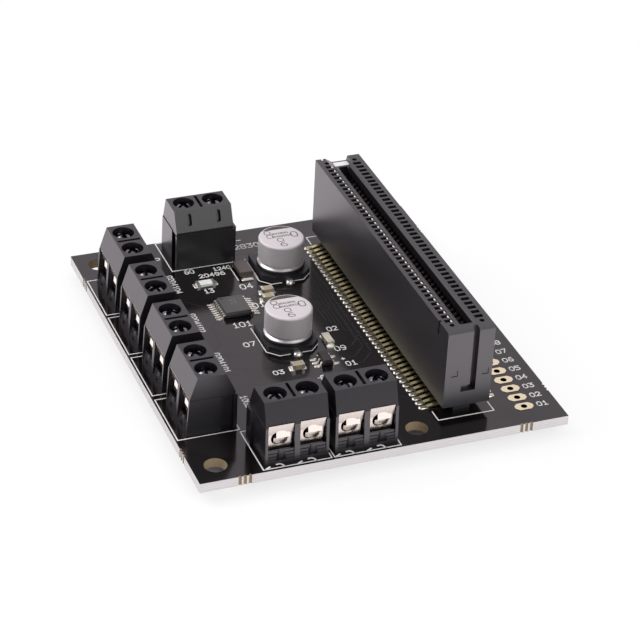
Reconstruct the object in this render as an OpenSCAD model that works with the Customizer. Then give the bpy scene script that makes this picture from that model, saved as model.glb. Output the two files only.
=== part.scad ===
/* [Board] */
// Size of the board along X
board_x = 59.2; // [58:0.1:66]
// Size of the board along Y
board_y = 67.1; // [65:0.1:76]
// Thickness of the board
board_t = 1.6; // [1.2:0.1:2.4]
// Diameter of the four mounting holes
mount_hole_d = 3.5; // [2.8:0.1:3.8]
// Distance between the mounting holes along X
mount_pitch_x = 32; // [31:0.1:33]
// Distance between the mounting holes along Y
mount_pitch_y = 59.4; // [58.6:0.1:60]
// Left edge of the board to the left mounting holes
mount_inset = 3.7; // [3:0.1:4.2]
// Diameter of the half holes left where the board broke out of its panel
bite_d = 0.5; // [0.3:0.05:0.6]
// Distance between the half holes of one break-out tab
bite_pitch = 0.8; // [0.7:0.05:1.2]
// Half holes at each break-out tab
bite_count = 3; // [1:1:4]
// Board centre to a break-out tab along X
tab_x = 22.6; // [20:0.1:24]
// Board centre to a break-out tab along Y
tab_y = 25.2; // [23:0.1:27]

/* [Header pads] */
// Plated holes in the row along the right edge
pad_count = 24; // [8:1:25]
// Distance between the plated holes
pad_pitch = 2.54; // [2.5:0.01:2.6]
// Right edge of the board to the plated holes
pad_inset = 5.5; // [4.5:0.1:6]
// Length of a pad along X
pad_len = 3.0; // [2.2:0.1:3.4]
// Width of a pad along Y
pad_wide = 1.75; // [1.6:0.05:2.1]
// Diameter of a pad's finished hole
pad_hole_d = 1.0; // [0.8:0.05:1.15]
// Wall of the plated barrel
plating = 0.1; // [0.06:0.01:0.14]
// Height of a pad above the board's face
pad_t = 0.06; // [0.04:0.01:0.1]

/* [Terminal blocks] */
// Distance between the two wire ways of a block
way_pitch = 5; // [5:0.01:5.1]
// Width of a block's lower part along its row
block_w = 10; // [9.8:0.1:10.2]
// Side step from the lower part in to the upper part
block_step = 0.1; // [0.05:0.05:0.2]
// Depth of a block at the board
block_d = 7.9; // [7.7:0.1:8.2]
// Height of a block
block_h = 10; // [9.8:0.1:11]
// Height of the shoulder at the back of a block
shoulder_h = 6.2; // [6.1:0.1:6.5]
// Height of the upper edge of the wire openings
mouth_top = 6.6; // [6.5:0.05:6.7]
// Height of the stepped sill under the wire openings
sill_h = 2.1; // [1.9:0.1:2.3]
// Height of a block's floor
floor_t = 1.5; // [1.3:0.1:1.7]
// Width of a wire opening
mouth_w = 4.15; // [4.1:0.05:4.3]
// Distance of the flat top from the back of a block
top_back = 1.8; // [1.7:0.1:2]
// Depth of the flat top
top_d = 4.5; // [4.3:0.1:4.7]
// Diameter of a screw well
well_d = 3.5; // [3.45:0.05:3.6]
// Back of a block to the screw axis
screw_back = 4.25; // [4.1:0.05:4.3]
// Width of the groove between the screw wells
groove_w = 0.5; // [0.3:0.05:0.6]
// Depth of the groove between the screw wells
groove_h = 0.8; // [0.4:0.1:1.2]
// Width of the two slots in the sloped back
sight_w = 0.8; // [0.6:0.05:1]
// Height of the two slots in the sloped back
sight_h = 2.1; // [1.6:0.1:2.4]
// Depth of the two slots in the sloped back
sight_deep = 0.9; // [0.6:0.1:0.9]
// Width of the scoop under each wire opening
scoop_w = 1.9; // [1.6:0.1:2]
// Height that the side rib stands out
rib_out = 0.5; // [0.3:0.05:0.55]
// Width of the side rib
rib_w = 1.7; // [1.4:0.1:1.9]
// Clearance between a side rib and the groove that takes it
rib_gap = 0.1; // [0.05:0.01:0.15]
// Back of a block to the side rib
rib_back = 0.7; // [0.5:0.1:0.9]

/* [Terminal rows] */
// Left edge of the board to the wire faces of the left row
left_inset = 1.9; // [1.6:0.1:2.2]
// Distance between the blocks of the left row
left_pitch = 12.1; // [11.6:0.05:12.4]
// Middle of the left row along Y
left_mid = 1.5; // [1.4:0.1:1.8]
// Front edge of the board to the wire faces of the front row
front_inset = 1.5; // [1.2:0.1:1.8]
// Distance between the blocks of the front row
front_pitch = 11; // [10.9:0.05:11.3]
// Middle of the front row along X
front_mid = -8.5; // [-8.7:0.05:-8.2]
// Back edge of the board to the wire face of the power block
power_inset = 1.3; // [1:0.1:1.6]
// Middle of the power block along X
power_mid = -9.25; // [-9.8:0.05:-9]

/* [Terminal metal] */
// Width of a cage's front plate
cage_w = 3.6; // [3.3:0.05:3.8]
// Width of the band behind the front plate
band_w = 3; // [2.9:0.05:3.05]
// Thickness of the cage metal
cage_t = 0.45; // [0.4:0.05:0.5]
// Thickness of the threaded collar
collar_t = 0.8; // [0.7:0.05:0.9]
// Back of a block to the back of its cages
cage_back = 1.9; // [1.8:0.05:2]
// Wire face of a block to the top of its cages' front plates
cage_lip = 0.8; // [0.75:0.05:0.85]
// Distance that a cage's front plate leans back
cage_lean = 0.35; // [0.25:0.05:0.4]
// Width of the flared upper edge of a front plate
flare_w = 3.95; // [3.7:0.05:4]
// Distance that the flared edge bends forward
flare_out = 0.35; // [0.25:0.05:0.4]
// Diameter of the round wire hole in a cage
wire_hole_d = 2.8; // [2.5:0.05:2.9]
// Height of the wire holes' middle
wire_hole_z = 3.9; // [3.8:0.05:4]
// Angle that the guard tongue over a wire hole bends forward
tongue_bend = 11; // [6:1:14]
// Side of a square board pin
pin_side = 1; // [0.8:0.05:1.05]
// Length of a board pin below the board
pin_out = 1.9; // [1.5:0.1:2.4]
// Clearance of the board pins in their holes
pin_gap = 0.1; // [0.06:0.01:0.2]
// Widest diameter of a solder joint
joint_d = 2.6; // [2.2:0.1:2.8]
// Height of a solder joint
joint_h = 1; // [0.8:0.1:1.2]

/* [Clamp screws] */
// Diameter of the screw shank
shank_d = 2.2; // [2:0.05:2.3]
// Running clearance of the shank in its collar, all round
shank_gap = 0.05; // [0.03:0.01:0.08]
// Diameter of the screw head
head_d = 3.3; // [3.2:0.05:3.4]
// Height of the screw head
head_h = 2.1; // [1.8:0.1:2.2]
// Height of the domed part of the screw head
dome_h = 1.15; // [1.1:0.05:1.3]
// Width of the driver slot
slot_w = 0.8; // [0.6:0.05:0.9]
// Width of the narrower slot across it
cross_w = 0.5; // [0.4:0.05:0.6]
// Depth of the driver slots
slot_h = 0.9; // [0.7:0.05:1]
// Travel of a screw from open to clamped
screw_travel = 1.5; // [1.2:0.1:1.5]
// Clearance kept between moving and fixed flat faces
play = 0.1; // [0.08:0.01:0.12]
// Thickness of a pressure plate
plate_t = 0.6; // [0.5:0.05:0.7]
// Width of a pressure plate
plate_w = 2.7; // [2.4:0.1:2.8]
// Clearance between a cage's front plate and a pressure plate
plate_gap = 0.3; // [0.2:0.05:0.4]

/* [Card socket] */
// Contacts in each row
way_count = 40; // [36:1:40]
// Distance between the contacts
contact_pitch = 1.27; // [1.26:0.005:1.28]
// Right edge of the board to the socket's centre
socket_mid = 14.95; // [14.8:0.05:15.2]
// Shift of the socket's middle along Y
socket_shift = -0.4; // [-0.6:0.05:-0.2]
// Width of the housing
socket_w = 7.7; // [7.4:0.05:7.9]
// Thickness of the housing's end walls
end_wall = 2; // [1.8:0.1:2.6]
// Height of the housing's top above the board
socket_h = 15.1; // [14:0.1:16]
// Gap under the housing
socket_gap = 1.7; // [1.4:0.05:1.9]
// Width of the card slot
slot_wide = 2; // [1.8:0.05:2.1]
// Length of the card slot past the last contacts
slot_past = 0.5; // [0.3:0.05:0.6]
// Depth of the card slot
slot_deep = 9.5; // [8.5:0.1:10]
// Centre of the socket to a contact row
row_out = 2.45; // [2.35:0.05:2.5]
// Length of a contact pocket across the housing
pocket_len = 1.35; // [1.2:0.05:1.45]
// Width of a contact pocket along the housing
pocket_w = 0.8; // [0.76:0.01:0.84]
// Height of the rim between a pocket and the card slot
rim_h = 1.5; // [1.2:0.1:2]
// Width of the bevel along the card slot's mouth
lead_w = 0.35; // [0.2:0.05:0.4]
// Height of the bevel along the card slot's mouth
lead_h = 0.22; // [0.15:0.01:0.4]
// Width of the key groove in the end wall
key_w = 0.95; // [0.7:0.05:1.1]
// Depth of the key groove
key_deep = 1.2; // [0.8:0.1:1.3]
// Offset of the key groove from the socket's centre
key_off = 0.8; // [0.7:0.05:0.9]
// Height of the key groove's foot above the board
key_foot = 4.2; // [3.8:0.1:4.6]
// Depth of the notch in the back wall
notch_deep = 0.8; // [0.5:0.1:0.9]
// Width of the notch in the back wall
notch_w = 2.5; // [2:0.1:2.8]
// End of the housing to the slits in its side walls
slit_in = 3.4; // [3:0.1:4]
// Height of the slits in the side walls
slit_h = 2.2; // [1.6:0.1:2.6]
// Diameter of the locating pegs
peg_d = 1.4; // [1.2:0.05:1.5]
// Clearance of the locating pegs in the board, all round
peg_gap = 0.1; // [0.05:0.01:0.15]

/* [Socket contacts] */
// Width of a contact
contact_w = 0.54; // [0.4:0.01:0.6]
// Width of a contact's foot
foot_w = 0.62; // [0.5:0.02:0.7]
// Height of a foot where it leaves its tail
foot_rise = 0.7; // [0.4:0.05:1]
// Housing's top to the tips of the contacts
tip_drop = 0.3; // [0.2:0.05:0.6]
// Thickness of a contact
contact_t = 0.22; // [0.2:0.01:0.25]
// Centre of the socket to the tips of the feet
foot_reach = 6; // [5.6:0.05:6.2]
// Distance that the springs bow into the card slot
bow = 0.45; // [0.35:0.05:0.5]

/* [Capacitors] */
// Diameter of a capacitor can
can_d = 7.7; // [7.6:0.1:8.2]
// Overall height of a capacitor
can_h = 6; // [5.4:0.1:7]
// Radius of the edge round the top of a can
can_edge = 0.35; // [0.3:0.05:0.6]
// Side of the square base
base_side = 8.3; // [8.2:0.1:8.6]
// Height of the base
base_h = 0.95; // [0.85:0.05:1.2]
// Size of the base's cut corners
base_cut = 1.5; // [1.2:0.1:1.8]
// Depth of the groove round the can
waist = 0.3; // [0.15:0.05:0.4]
// Height of the groove round the can
waist_z = 2; // [1.9:0.05:2.6]
// Length that a foot stands out of the base
cap_foot = 0.8; // [0.5:0.1:1]
// Length of a foot under its base
foot_in = 2; // [1.5:0.1:2.4]
// Place of the front capacitor
cap_front = [-3.95, -0.65];
// Place of the back capacitor, from the socket's centre along X and from the board's centre along Y
cap_back = [-12.25, 20];

/* [Small components] */
// Driver chip body along X, along Y and up
chip = [4.4, 5, 1];
// Place of the driver chip
chip_at = [-9.2, 10.1];
// Leads on each side of the driver chip
chip_leads = 8; // [6:1:8]
// Distance between the chip's leads
chip_pitch = 0.65; // [0.6:0.01:0.68]
// Lead tip to lead tip across the driver chip
chip_span = 6.4; // [6:0.1:6.8]
// Width of a chip lead
chip_lead_w = 0.3; // [0.2:0.02:0.36]
// Regulator body along X, along Y and up
regulator = [1.6, 2.9, 1];
// Place of the regulator
regulator_at = [-0.6, -8.5];
// Diode body along X, along Y and up
diode = [2.4, 3.9, 1];
// Place of the diode, from the back capacitor along X and from the back of the power block along Y
diode_at = [-6.3, -3.55];
// Ceramic capacitor along X, along Y and up
ceramic = [2, 1.25, 0.9];
// Places of the ceramic capacitors
ceramic_at = [[-2.3, 13.6], [-2.9, 11.4], [-5.3, -8.9]];
// Resistor along X, along Y and up
resistor = [3.1, 1.4, 0.5];
// Place of the resistor
resistor_at = [-11.1, 18.7];
// Indicator lamp along X, along Y and up
lamp = [1.2, 2.8, 0.8];
// Place of the indicator lamp
lamp_at = [1.9, -3.2];

/* [Hidden] */
$fn = 48;
// Small overlap used only where a cut has to break a surface
eps = 0.01;
// Heights of the board's two faces above the tips of the board pins
under = pin_out;
top = under + board_t;
// Blocks: name, middle of the wire face on the board, turn about Z
LEFT = [for (i = [0:3]) [str("left_", i + 1), [-board_x / 2 + left_inset, left_mid + left_pitch * (1.5 - i)], -90]];
FRONT = [for (i = [0:1]) [str("front_", i + 1), [front_mid + front_pitch * (i - 0.5), -board_y / 2 + front_inset], 0]];
POWER = [["power", [power_mid, board_y / 2 - power_inset], 180]];
BLOCKS = concat(LEFT, FRONT, POWER);
// Places on the board that follow other pieces
socket_x = board_x / 2 - socket_mid;
back_place = [socket_x + cap_back[0], cap_back[1]];
diode_place = [back_place[0] + diode_at[0], POWER[0][1][1] - block_d + diode_at[1]];
WAYS = ["a", "b"];

// Puts a child that is drawn in a block's own frame on the board: X across, Y back from the wire face
module at_block(b) {
    translate([b[1][0], b[1][1], top])
        rotate([0, 0, b[2]])
            children();
}

// Children at the screw axis of one way in a block's own frame, 0 or 1
function way_x(k) = (k - 0.5) * way_pitch;
screw_y = block_d - screw_back;

// Extrudes an outline drawn as [back from the wire face, height] across the block
module across(w) {
    translate([-w / 2, 0, 0])
        rotate([90, 0, 90])
            linear_extrude(w)
                children();
}

pin_hole_d = pin_side * sqrt(2) + 2 * pin_gap;

// Lengths of the card slot and of its housing
slot_len = way_count * contact_pitch + 2 * slot_past;
socket_len = slot_len + 2 * end_wall;

// ---- board ----
function tab_bites(p) = [for (i = [0:bite_count - 1]) p + (i - (bite_count - 1) / 2) * bite_pitch];
MOUNTS = [for (x = [0, mount_pitch_x]) for (y = [-0.5, 0.5]) [-board_x / 2 + mount_inset + x, y * mount_pitch_y]];
PADS = [for (i = [0:pad_count - 1]) [board_x / 2 - pad_inset, (i - (pad_count - 1) / 2) * pad_pitch]];
PEGS = [for (s = [-1, 1]) [socket_x, socket_shift + s * (socket_len / 2 - 2.6)]];

module circuit_board() {
    color([0.1, 0.1, 0.11])
        difference() {
            translate([-board_x / 2, -board_y / 2, under])
                cube([board_x, board_y, board_t]);
            for (p = MOUNTS)
                board_hole(p, mount_hole_d);
            for (p = PADS)
                board_hole(p, pad_hole_d + 2 * plating);
            for (p = PEGS)
                board_hole(p, peg_d + 2 * peg_gap);
            for (b = BLOCKS)
                for (k = [0, 1])
                    at_block(b)
                        translate([0, 0, -top])
                            board_hole([way_x(k), screw_y], pin_hole_d);
            for (s = [-1, 1]) {
                for (t = [-tab_x, tab_x])
                    for (x = tab_bites(t))
                        board_hole([x, s * board_y / 2], bite_d);
                for (t = [-tab_y, tab_y])
                    for (y = tab_bites(t))
                        board_hole([s * board_x / 2, y], bite_d);
            }
        }
}

module board_hole(p, d) {
    translate([p[0], p[1], under - 1])
        cylinder(d = d, h = board_t + 2);
}

// Long eight-sided pad
module pad_outline() {
    a = pad_len / 2;
    b = pad_wide / 2;
    c = pad_wide * 0.32;
    polygon([[a, c - b], [a, b - c], [a - c, b], [c - a, b], [-a, b - c], [-a, c - b], [c - a, -b], [a - c, -b]]);
}

module header_pads() {
    color([0.91, 0.79, 0.55])
        for (p = PADS)
            translate([p[0], p[1], under])
                difference() {
                    union() {
                        translate([0, 0, board_t])
                            linear_extrude(pad_t)
                                pad_outline();
                        translate([0, 0, -pad_t])
                            linear_extrude(pad_t)
                                pad_outline();
                        cylinder(d = pad_hole_d + 2 * plating - 0.02, h = board_t);
                    }
                    translate([0, 0, -1])
                        cylinder(d = pad_hole_d, h = board_t + 2);
                }
}

module solder_joints() {
    color([0.75, 0.75, 0.76])
        for (b = BLOCKS)
            for (k = [0, 1])
                at_block(b)
                    translate([way_x(k), screw_y, -board_t - joint_h])
                        difference() {
                            cylinder(d1 = pin_side * 1.7, d2 = joint_d, h = joint_h);
                            translate([-pin_side / 2, -pin_side / 2, -1])
                                cube([pin_side, pin_side, joint_h + 2]);
                        }
}

// ---- terminal blocks ----
// Side outline of the lower part, wire face at 0
lean_low = 0.35;
lower_outline = [[0, 0], [block_d, 0], [block_d, shoulder_h], [lean_low, shoulder_h]];
upper_outline = [[lean_low, shoulder_h], [block_d - 0.3, shoulder_h], [block_d - 0.3, shoulder_h + 0.5],
                 [block_d - top_back, block_h], [block_d - top_back - top_d, block_h]];
slope_run = top_back - 0.3;
slope_rise = block_h - shoulder_h - 0.5;
slope_turn = atan2(slope_run, slope_rise);
// Height of the sight slots' middle
sight_z = block_h - 0.3 - sight_h / 2 * cos(slope_turn) - 0.2;

module terminal_housing() {
    color([0.13, 0.13, 0.14])
        difference() {
            union() {
                across(block_w)
                    polygon(lower_outline);
                across(block_w - 2 * block_step)
                    polygon(upper_outline);
                translate([-block_w / 2 - rib_out, block_d - rib_back - rib_w, 0])
                    cube([rib_out + eps, rib_w, shoulder_h]);
            }
            // groove that takes the next block's rib
            translate([block_w / 2 - rib_out - rib_gap, block_d - rib_back - rib_w - rib_gap, -1])
                cube([rib_out + 1, rib_w + 2 * rib_gap, shoulder_h + 1 + eps]);
            // groove between the screw wells
            translate([-groove_w / 2, block_d - top_back - top_d + 0.4, block_h - groove_h])
                cube([groove_w, top_d - 0.8, groove_h + 1]);
            for (k = [0, 1])
                translate([way_x(k), 0, 0])
                    terminal_chamber();
        }
}

// Hollow of one way: wire mouth, scoop, screw well, slot in the back and pin slot
module terminal_chamber() {
    translate([-mouth_w / 2, -1, sill_h])
        cube([mouth_w, cage_front + 1, mouth_top - sill_h]);
    translate([-mouth_w / 2, cage_front - play, floor_t])
        cube([mouth_w, cage_lean + front_thick + 1.5 * play, cage_top + play - floor_t]);
    translate([-band_w / 2 - play, cage_front, floor_t])
        cube([band_w + 2 * play, cage_rear + play - cage_front, cage_top + play - floor_t]);
    // steps in the sill
    across(mouth_w)
        polygon([[-1, sill_h - 1.5], [0.12, sill_h - 1.5], [0.12, sill_h - 1], [0.24, sill_h - 1],
                 [0.24, sill_h - 0.5], [0.36, sill_h - 0.5], [0.36, sill_h + eps], [-1, sill_h + eps]]);
    // scoop that leads a wire in over the sill
    translate([0, 0.5 - scoop_w / 2, 0.5])
        cylinder(d = scoop_w, h = sill_h);
    translate([0, screw_y, cage_top])
        cylinder(d = well_d, h = block_h);
    translate([-pin_side / 2 - pin_gap, screw_y - pin_side / 2 - pin_gap, -1])
        cube([pin_side + 2 * pin_gap, pin_side + 2 * pin_gap, floor_t + 2]);
    translate([0, block_d - top_back / 2 - 0.1, sight_z])
        rotate([slope_turn - 90, 0, 0])
            sight_slot();
}

module sight_slot() {
    translate([0, 0, -sight_deep])
        linear_extrude(sight_deep + 1) {
            square([sight_w, sight_h - sight_w], center = true);
            for (s = [-1, 1])
                translate([0, s * (sight_h - sight_w) / 2])
                    circle(d = sight_w);
        }
}

// Side outline of a cage, a band with a threaded collar on top and a front plate with a flared upper edge
cage_top = mouth_top - 0.5;
cage_low = floor_t;
cage_front = cage_lip;
cage_rear = block_d - cage_back;
plate_len = norm([cage_lean, cage_top - cage_low]);
plate_turn = atan2(cage_lean, cage_top - cage_low);
cage_outer = [[cage_front, cage_top], [cage_rear, cage_top], [cage_rear, cage_low],
              [cage_front + cage_lean, cage_low]];
front_thick = cage_t / cos(plate_turn);
cage_inner = [[cage_front + front_thick + cage_lean * collar_t / (cage_top - cage_low), cage_top - collar_t],
              [cage_rear - cage_t, cage_top - collar_t], [cage_rear - cage_t, cage_low + cage_t],
              [cage_front + cage_lean + front_thick - cage_lean * cage_t / (cage_top - cage_low), cage_low + cage_t]];
cage_plate = [[cage_front, cage_top], [cage_front + front_thick, cage_top],
              [cage_front + cage_lean + front_thick, cage_low], [cage_front + cage_lean, cage_low]];
cage_flare = [[cage_front + 0.05, cage_top - 1.5], [cage_front - flare_out, cage_top + 0.35],
              [cage_front - flare_out + 0.2, cage_top + 0.4], [cage_front + 0.3, cage_top - 1.3]];
// Place of a wire hole's centre on the front plate, down the plate from its upper edge
hole_drop = cage_top - wire_hole_z;
// Guard tongue, from its bend at the top of the wire hole down
tongue = [[-0.65, 0.3], [1.5, 0.3], [1.5, -1.3], [-0.65, -1.3]];

module terminal_cage() {
    difference() {
        union() {
            difference() {
                union() {
                    across(band_w)
                        polygon(cage_outer);
                    across(cage_w)
                        polygon(cage_plate);
                    across(flare_w)
                        polygon(cage_flare);
                }
                across(cage_w + 2)
                    polygon(cage_inner);
                on_front_plate(hole_drop)
                    translate([0, 0, -0.4])
                        cylinder(d = wire_hole_d, h = cage_t + 0.8);
            }
            // guard tongue bent out over the upper part of the wire hole
            on_front_plate(hole_drop - wire_hole_d / 2)
                rotate([tongue_bend, 0, 0])
                    linear_extrude(0.25)
                        polygon(tongue);
            translate([-pin_side / 2, screw_y - pin_side / 2, -board_t - pin_out])
                cube([pin_side, pin_side, cage_low + cage_t / 2 + board_t + pin_out]);
        }
        translate([0, screw_y, cage_top - collar_t - 0.2])
            cylinder(d = shank_d + 2 * shank_gap, h = collar_t + 1);
    }
}

// Frame on the front face of the leaning plate: X across, Y up the plate, Z into the block
module on_front_plate(drop) {
    translate([0, cage_front, cage_top])
        rotate([plate_turn, 0, 0])
            translate([0, 0, -drop])
                rotate([-90, 0, 0])
                    mirror([0, 1, 0])
                        children();
}

module terminal_cages(b) {
    color([0.86, 0.85, 0.84])
        at_block(b)
            for (k = [0, 1])
                translate([way_x(k), 0, 0])
                    terminal_cage();
}

// Heights of the screw and the pressure plate with the clamp open
shank_low = cage_top - collar_t - 3 * play;
head_low = cage_top + play + screw_travel;

module clamp_screw(turn) {
    color([0.8, 0.8, 0.82])
        translate([0, screw_y, 0])
            difference() {
                union() {
                    translate([0, 0, shank_low])
                        cylinder(d = shank_d, h = head_low - shank_low + eps);
                    translate([0, 0, head_low])
                        rotate_extrude()
                            polygon(concat(
                                [[0, 0], [head_d / 2, 0]],
                                [for (a = [0:15:90]) [head_d / 2 * cos(a), head_h - dome_h * (1 - sin(a))]]));
                }
                driver_slot(turn, slot_w);
                driver_slot(turn + 90, cross_w);
            }
}

module driver_slot(turn, w) {
    rotate([0, 0, turn])
        translate([-head_d, -w / 2, head_low + head_h - slot_h])
            cube([2 * head_d, w, slot_h + 1]);
}

// Front and rear edges of a pressure plate inside its cage
plate_front = cage_front + cage_lean + front_thick + plate_gap;
plate_rear = cage_rear - cage_t - 3 * play;

module pressure_plate() {
    color([0.75, 0.74, 0.72])
        translate([-plate_w / 2, plate_front, shank_low - plate_t])
            cube([plate_w, plate_rear - plate_front, plate_t]);
}

// ---- card socket ----
row_y = socket_shift + 0.22;
function contact_y(i) = row_y + (i - (way_count - 1) / 2) * contact_pitch;
socket_low = top + socket_gap;
socket_top = top + socket_h;
slot_low = socket_top - slot_deep;
pocket_in = row_out - pocket_len / 2;
pocket_out = row_out + pocket_len / 2;

module socket_housing() {
    color([0.12, 0.12, 0.13])
        translate([socket_x, 0, 0])
            difference() {
                union() {
                    translate([-socket_w / 2, socket_shift - socket_len / 2, socket_low])
                        cube([socket_w, socket_len, socket_h - socket_gap]);
                    for (s = [-1, 1]) {
                        translate([-1.4, socket_shift + s * (socket_len / 2 - 2.6) - 1.1, top])
                            cube([2.8, 2.2, socket_gap + eps]);
                        translate([0, socket_shift + s * (socket_len / 2 - 2.6), top - board_t * 0.8])
                            cylinder(d = peg_d, h = board_t * 0.8 + eps);
                    }
                }
                // card slot with a lead-in
                translate([-slot_wide / 2, row_y - slot_len / 2 - 0.3, slot_low])
                    cube([slot_wide, slot_len, slot_deep + 1]);
                translate([0, row_y - slot_len / 2 - 0.3, 0])
                    rotate([-90, 0, 0])
                        linear_extrude(slot_len)
                            polygon([[-slot_wide / 2 - lead_w, -socket_top - eps], [slot_wide / 2 + lead_w, -socket_top - eps],
                                     [slot_wide / 2, -socket_top + lead_h], [-slot_wide / 2, -socket_top + lead_h]]);
                for (i = [0:way_count - 1])
                    for (m = [0, 1])
                        mirror([m, 0, 0])
                            translate([0, contact_y(i), 0])
                                contact_pocket();
                socket_end_details();
            }
}

// Pocket of one contact, open to the card slot below its rim and through the floor
module contact_pocket() {
    translate([0, pocket_w / 2, 0])
        rotate([90, 0, 0])
            linear_extrude(pocket_w)
                polygon([[pocket_in, socket_top + 1], [pocket_out, socket_top + 1], [pocket_out, slot_low - 1],
                         [row_out + 0.3, slot_low - 2], [row_out + 0.3, socket_low - 1],
                         [row_out - 0.35, socket_low - 1], [row_out - 0.35, slot_low + 0.4],
                         [slot_wide / 2 - 0.2, slot_low + 0.4], [slot_wide / 2 - 0.2, socket_top - rim_h],
                         [pocket_in, socket_top - rim_h]]);
}

module socket_end_details() {
    y0 = socket_shift - socket_len / 2;
    y1 = socket_shift + socket_len / 2;
    translate([key_off - key_w / 2, y0 - 1, top + key_foot])
        cube([key_w, key_deep + 1, socket_h]);
    translate([key_off + key_w / 2 - 2.4, y0 - 1, top + key_foot])
        cube([2.4, key_deep * 0.6 + 1, 1.1]);
    // ejector marks
    for (p = [[-2.9, 7.1], [2.2, 6.7]])
        translate([p[0], y0 - 1, top + p[1]])
            cube([1.1, 1.12, 1.1]);
    // vertical slit near the end of each side wall
    for (m = [0, 1])
        mirror([m, 0, 0])
            translate([socket_w / 2 - 0.35, y0 + slit_in, socket_top - slit_h])
                cube([1, 0.45, slit_h + 1]);
    // small round holes past the last contacts
    for (x = [-row_out, row_out])
        for (y = [row_y - way_count / 2 * contact_pitch - 0.65, row_y + way_count / 2 * contact_pitch + 0.65])
            translate([x, y, socket_top - 2])
                cylinder(d = 0.8, h = 3);
    // bevel on the end's upper edge
    translate([-socket_w, y0, socket_top])
        rotate([45, 0, 0])
            translate([0, -0.25, -0.25])
                cube([2 * socket_w, 0.5, 0.5]);
    // notch through the back wall
    translate([0, y1 + 1, 0])
        rotate([90, 0, 0])
            linear_extrude(end_wall + 2)
                polygon([[0.35 - notch_w / 2, socket_top - notch_deep], [0.35 + notch_w / 2, socket_top - notch_deep],
                         [0.55 + notch_w / 2, socket_top + eps], [-0.9 - notch_w / 2, socket_top + eps]]);
    translate([-2.9, y1 - 0.5, socket_top - 0.35])
        cube([0.35, 1, 1]);
}

// One contact of the right row: spring in the pocket, tail through the floor and foot on the board
spring_x = pocket_in + 0.1;
contact_path = [
    [spring_x, socket_top - tip_drop],
    [spring_x, socket_top - rim_h - 0.3],
    [slot_wide / 2 - bow, socket_top - rim_h - 1.3],
    [slot_wide / 2 - bow, socket_top - rim_h - 1.8],
    [spring_x, slot_low + 2],
    [row_out, slot_low + 0.8],
    [row_out, socket_low + 0.1]];
// Tail down from the housing's floor and a foot that slopes gently out to the board
foot_path = [
    [row_out, socket_low + 0.1],
    [row_out + contact_t, socket_low + 0.1],
    [row_out + contact_t, top + foot_rise],
    [foot_reach - 1, top + contact_t],
    [foot_reach, top + contact_t],
    [foot_reach, top],
    [foot_reach - 1.05, top],
    [row_out + contact_t - 0.05, top + foot_rise - contact_t],
    [row_out, top + foot_rise - contact_t + 0.1]];

module contact() {
    n = len(contact_path);
    rotate([90, 0, 0])
        translate([0, 0, -contact_w / 2])
            linear_extrude(contact_w) {
                polygon(concat(contact_path, [for (i = [n - 1:-1:0]) contact_path[i] + [contact_t, 0]]));
            }
    translate([0, foot_w / 2, 0])
        rotate([90, 0, 0])
            linear_extrude(foot_w)
                polygon(foot_path);
}

module socket_contacts(side) {
    color([0.8, 0.74, 0.58])
        translate([socket_x, 0, 0])
            mirror([side < 0 ? 1 : 0, 0, 0])
                for (i = [0:way_count - 1])
                    translate([0, contact_y(i), 0])
                        contact();
}

// ---- capacitors ----
can_low = 0.45;

module capacitor_can() {
    r = can_d / 2;
    color([0.78, 0.77, 0.79])
        translate([0, 0, top])
            rotate_extrude($fn = 64)
                polygon(concat(
                    [[0, can_low], [r - 0.3, can_low], [r, can_low + 0.3], [r, waist_z - 0.4],
                     [r - waist, waist_z - 0.12], [r - waist, waist_z + 0.12], [r - 0.05, waist_z + 0.4]],
                    [for (a = [0:15:90]) [r - 0.05 - can_edge * (1 - cos(a)), can_h - can_edge * (1 - sin(a))]],
                    [[0, can_h]]));
}

module capacitor_base() {
    h = base_side / 2;
    color([0.1, 0.1, 0.11])
        difference() {
            translate([0, 0, top])
                linear_extrude(base_h)
                    polygon([[-h, h], [-h, base_cut - h], [base_cut - h, -h], [h - base_cut, -h], [h, base_cut - h], [h, h]]);
            translate([0, 0, top + can_low])
                cylinder(d = can_d + 0.04, h = base_h, $fn = 64);
            for (s = [-1, 1])
                translate([-0.5, s * (h - (foot_in + 0.9) / 2) - (foot_in + 1.1) / 2, top - 1])
                    cube([1, foot_in + 1.1, 1.25]);
        }
}

// The two metal feet of a capacitor
module capacitor_feet(at) {
    for (s = [-1, 1])
        translate([at[0], at[1] + s * (base_side + cap_foot - foot_in) / 2, top])
            translate([-0.45, -(foot_in + cap_foot) / 2, 0])
                cube([0.9, foot_in + cap_foot, 0.22]);
}

// ---- small components ----
chip_up = 0.1;

module driver_chip() {
    color([0.2, 0.21, 0.2])
        translate([chip_at[0], chip_at[1], top + chip_up])
            difference() {
                moulded_body(chip, 0.12);
                translate([-chip[0] / 2 + 0.7, chip[1] / 2 - 0.7, chip[2] - 0.08])
                    cylinder(d = 0.6, h = 1);
            }
}

// A moulded body whose sides taper in above and below the lead line
module moulded_body(size, draft) {
    mid = size[2] * 0.5;
    intersection() {
        rotate([90, 0, 90])
            translate([0, 0, -size[0] / 2])
                linear_extrude(size[0])
                    barrel_outline(size[1], size[2], mid, draft);
        rotate([90, 0, 0])
            translate([0, 0, -size[1] / 2])
                linear_extrude(size[1])
                    barrel_outline(size[0], size[2], mid, draft);
    }
}

module barrel_outline(w, h, mid, draft) {
    polygon([[-w / 2 + draft, 0], [w / 2 - draft, 0], [w / 2, mid], [w / 2 - draft, h], [-w / 2 + draft, h], [-w / 2, mid]]);
}

// A gull-wing lead along +X: starts at the body, drops to the board
module gull_wing(reach, z_body, t, w) {
    translate([0, w / 2, 0])
        rotate([90, 0, 0])
            linear_extrude(w)
                polygon([[0, z_body], [reach * 0.35, z_body], [reach * 0.5, t], [reach, t], [reach, 0],
                         [reach * 0.5 - t, 0], [reach * 0.35 - t, z_body - t], [0, z_body - t]]);
}

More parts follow.
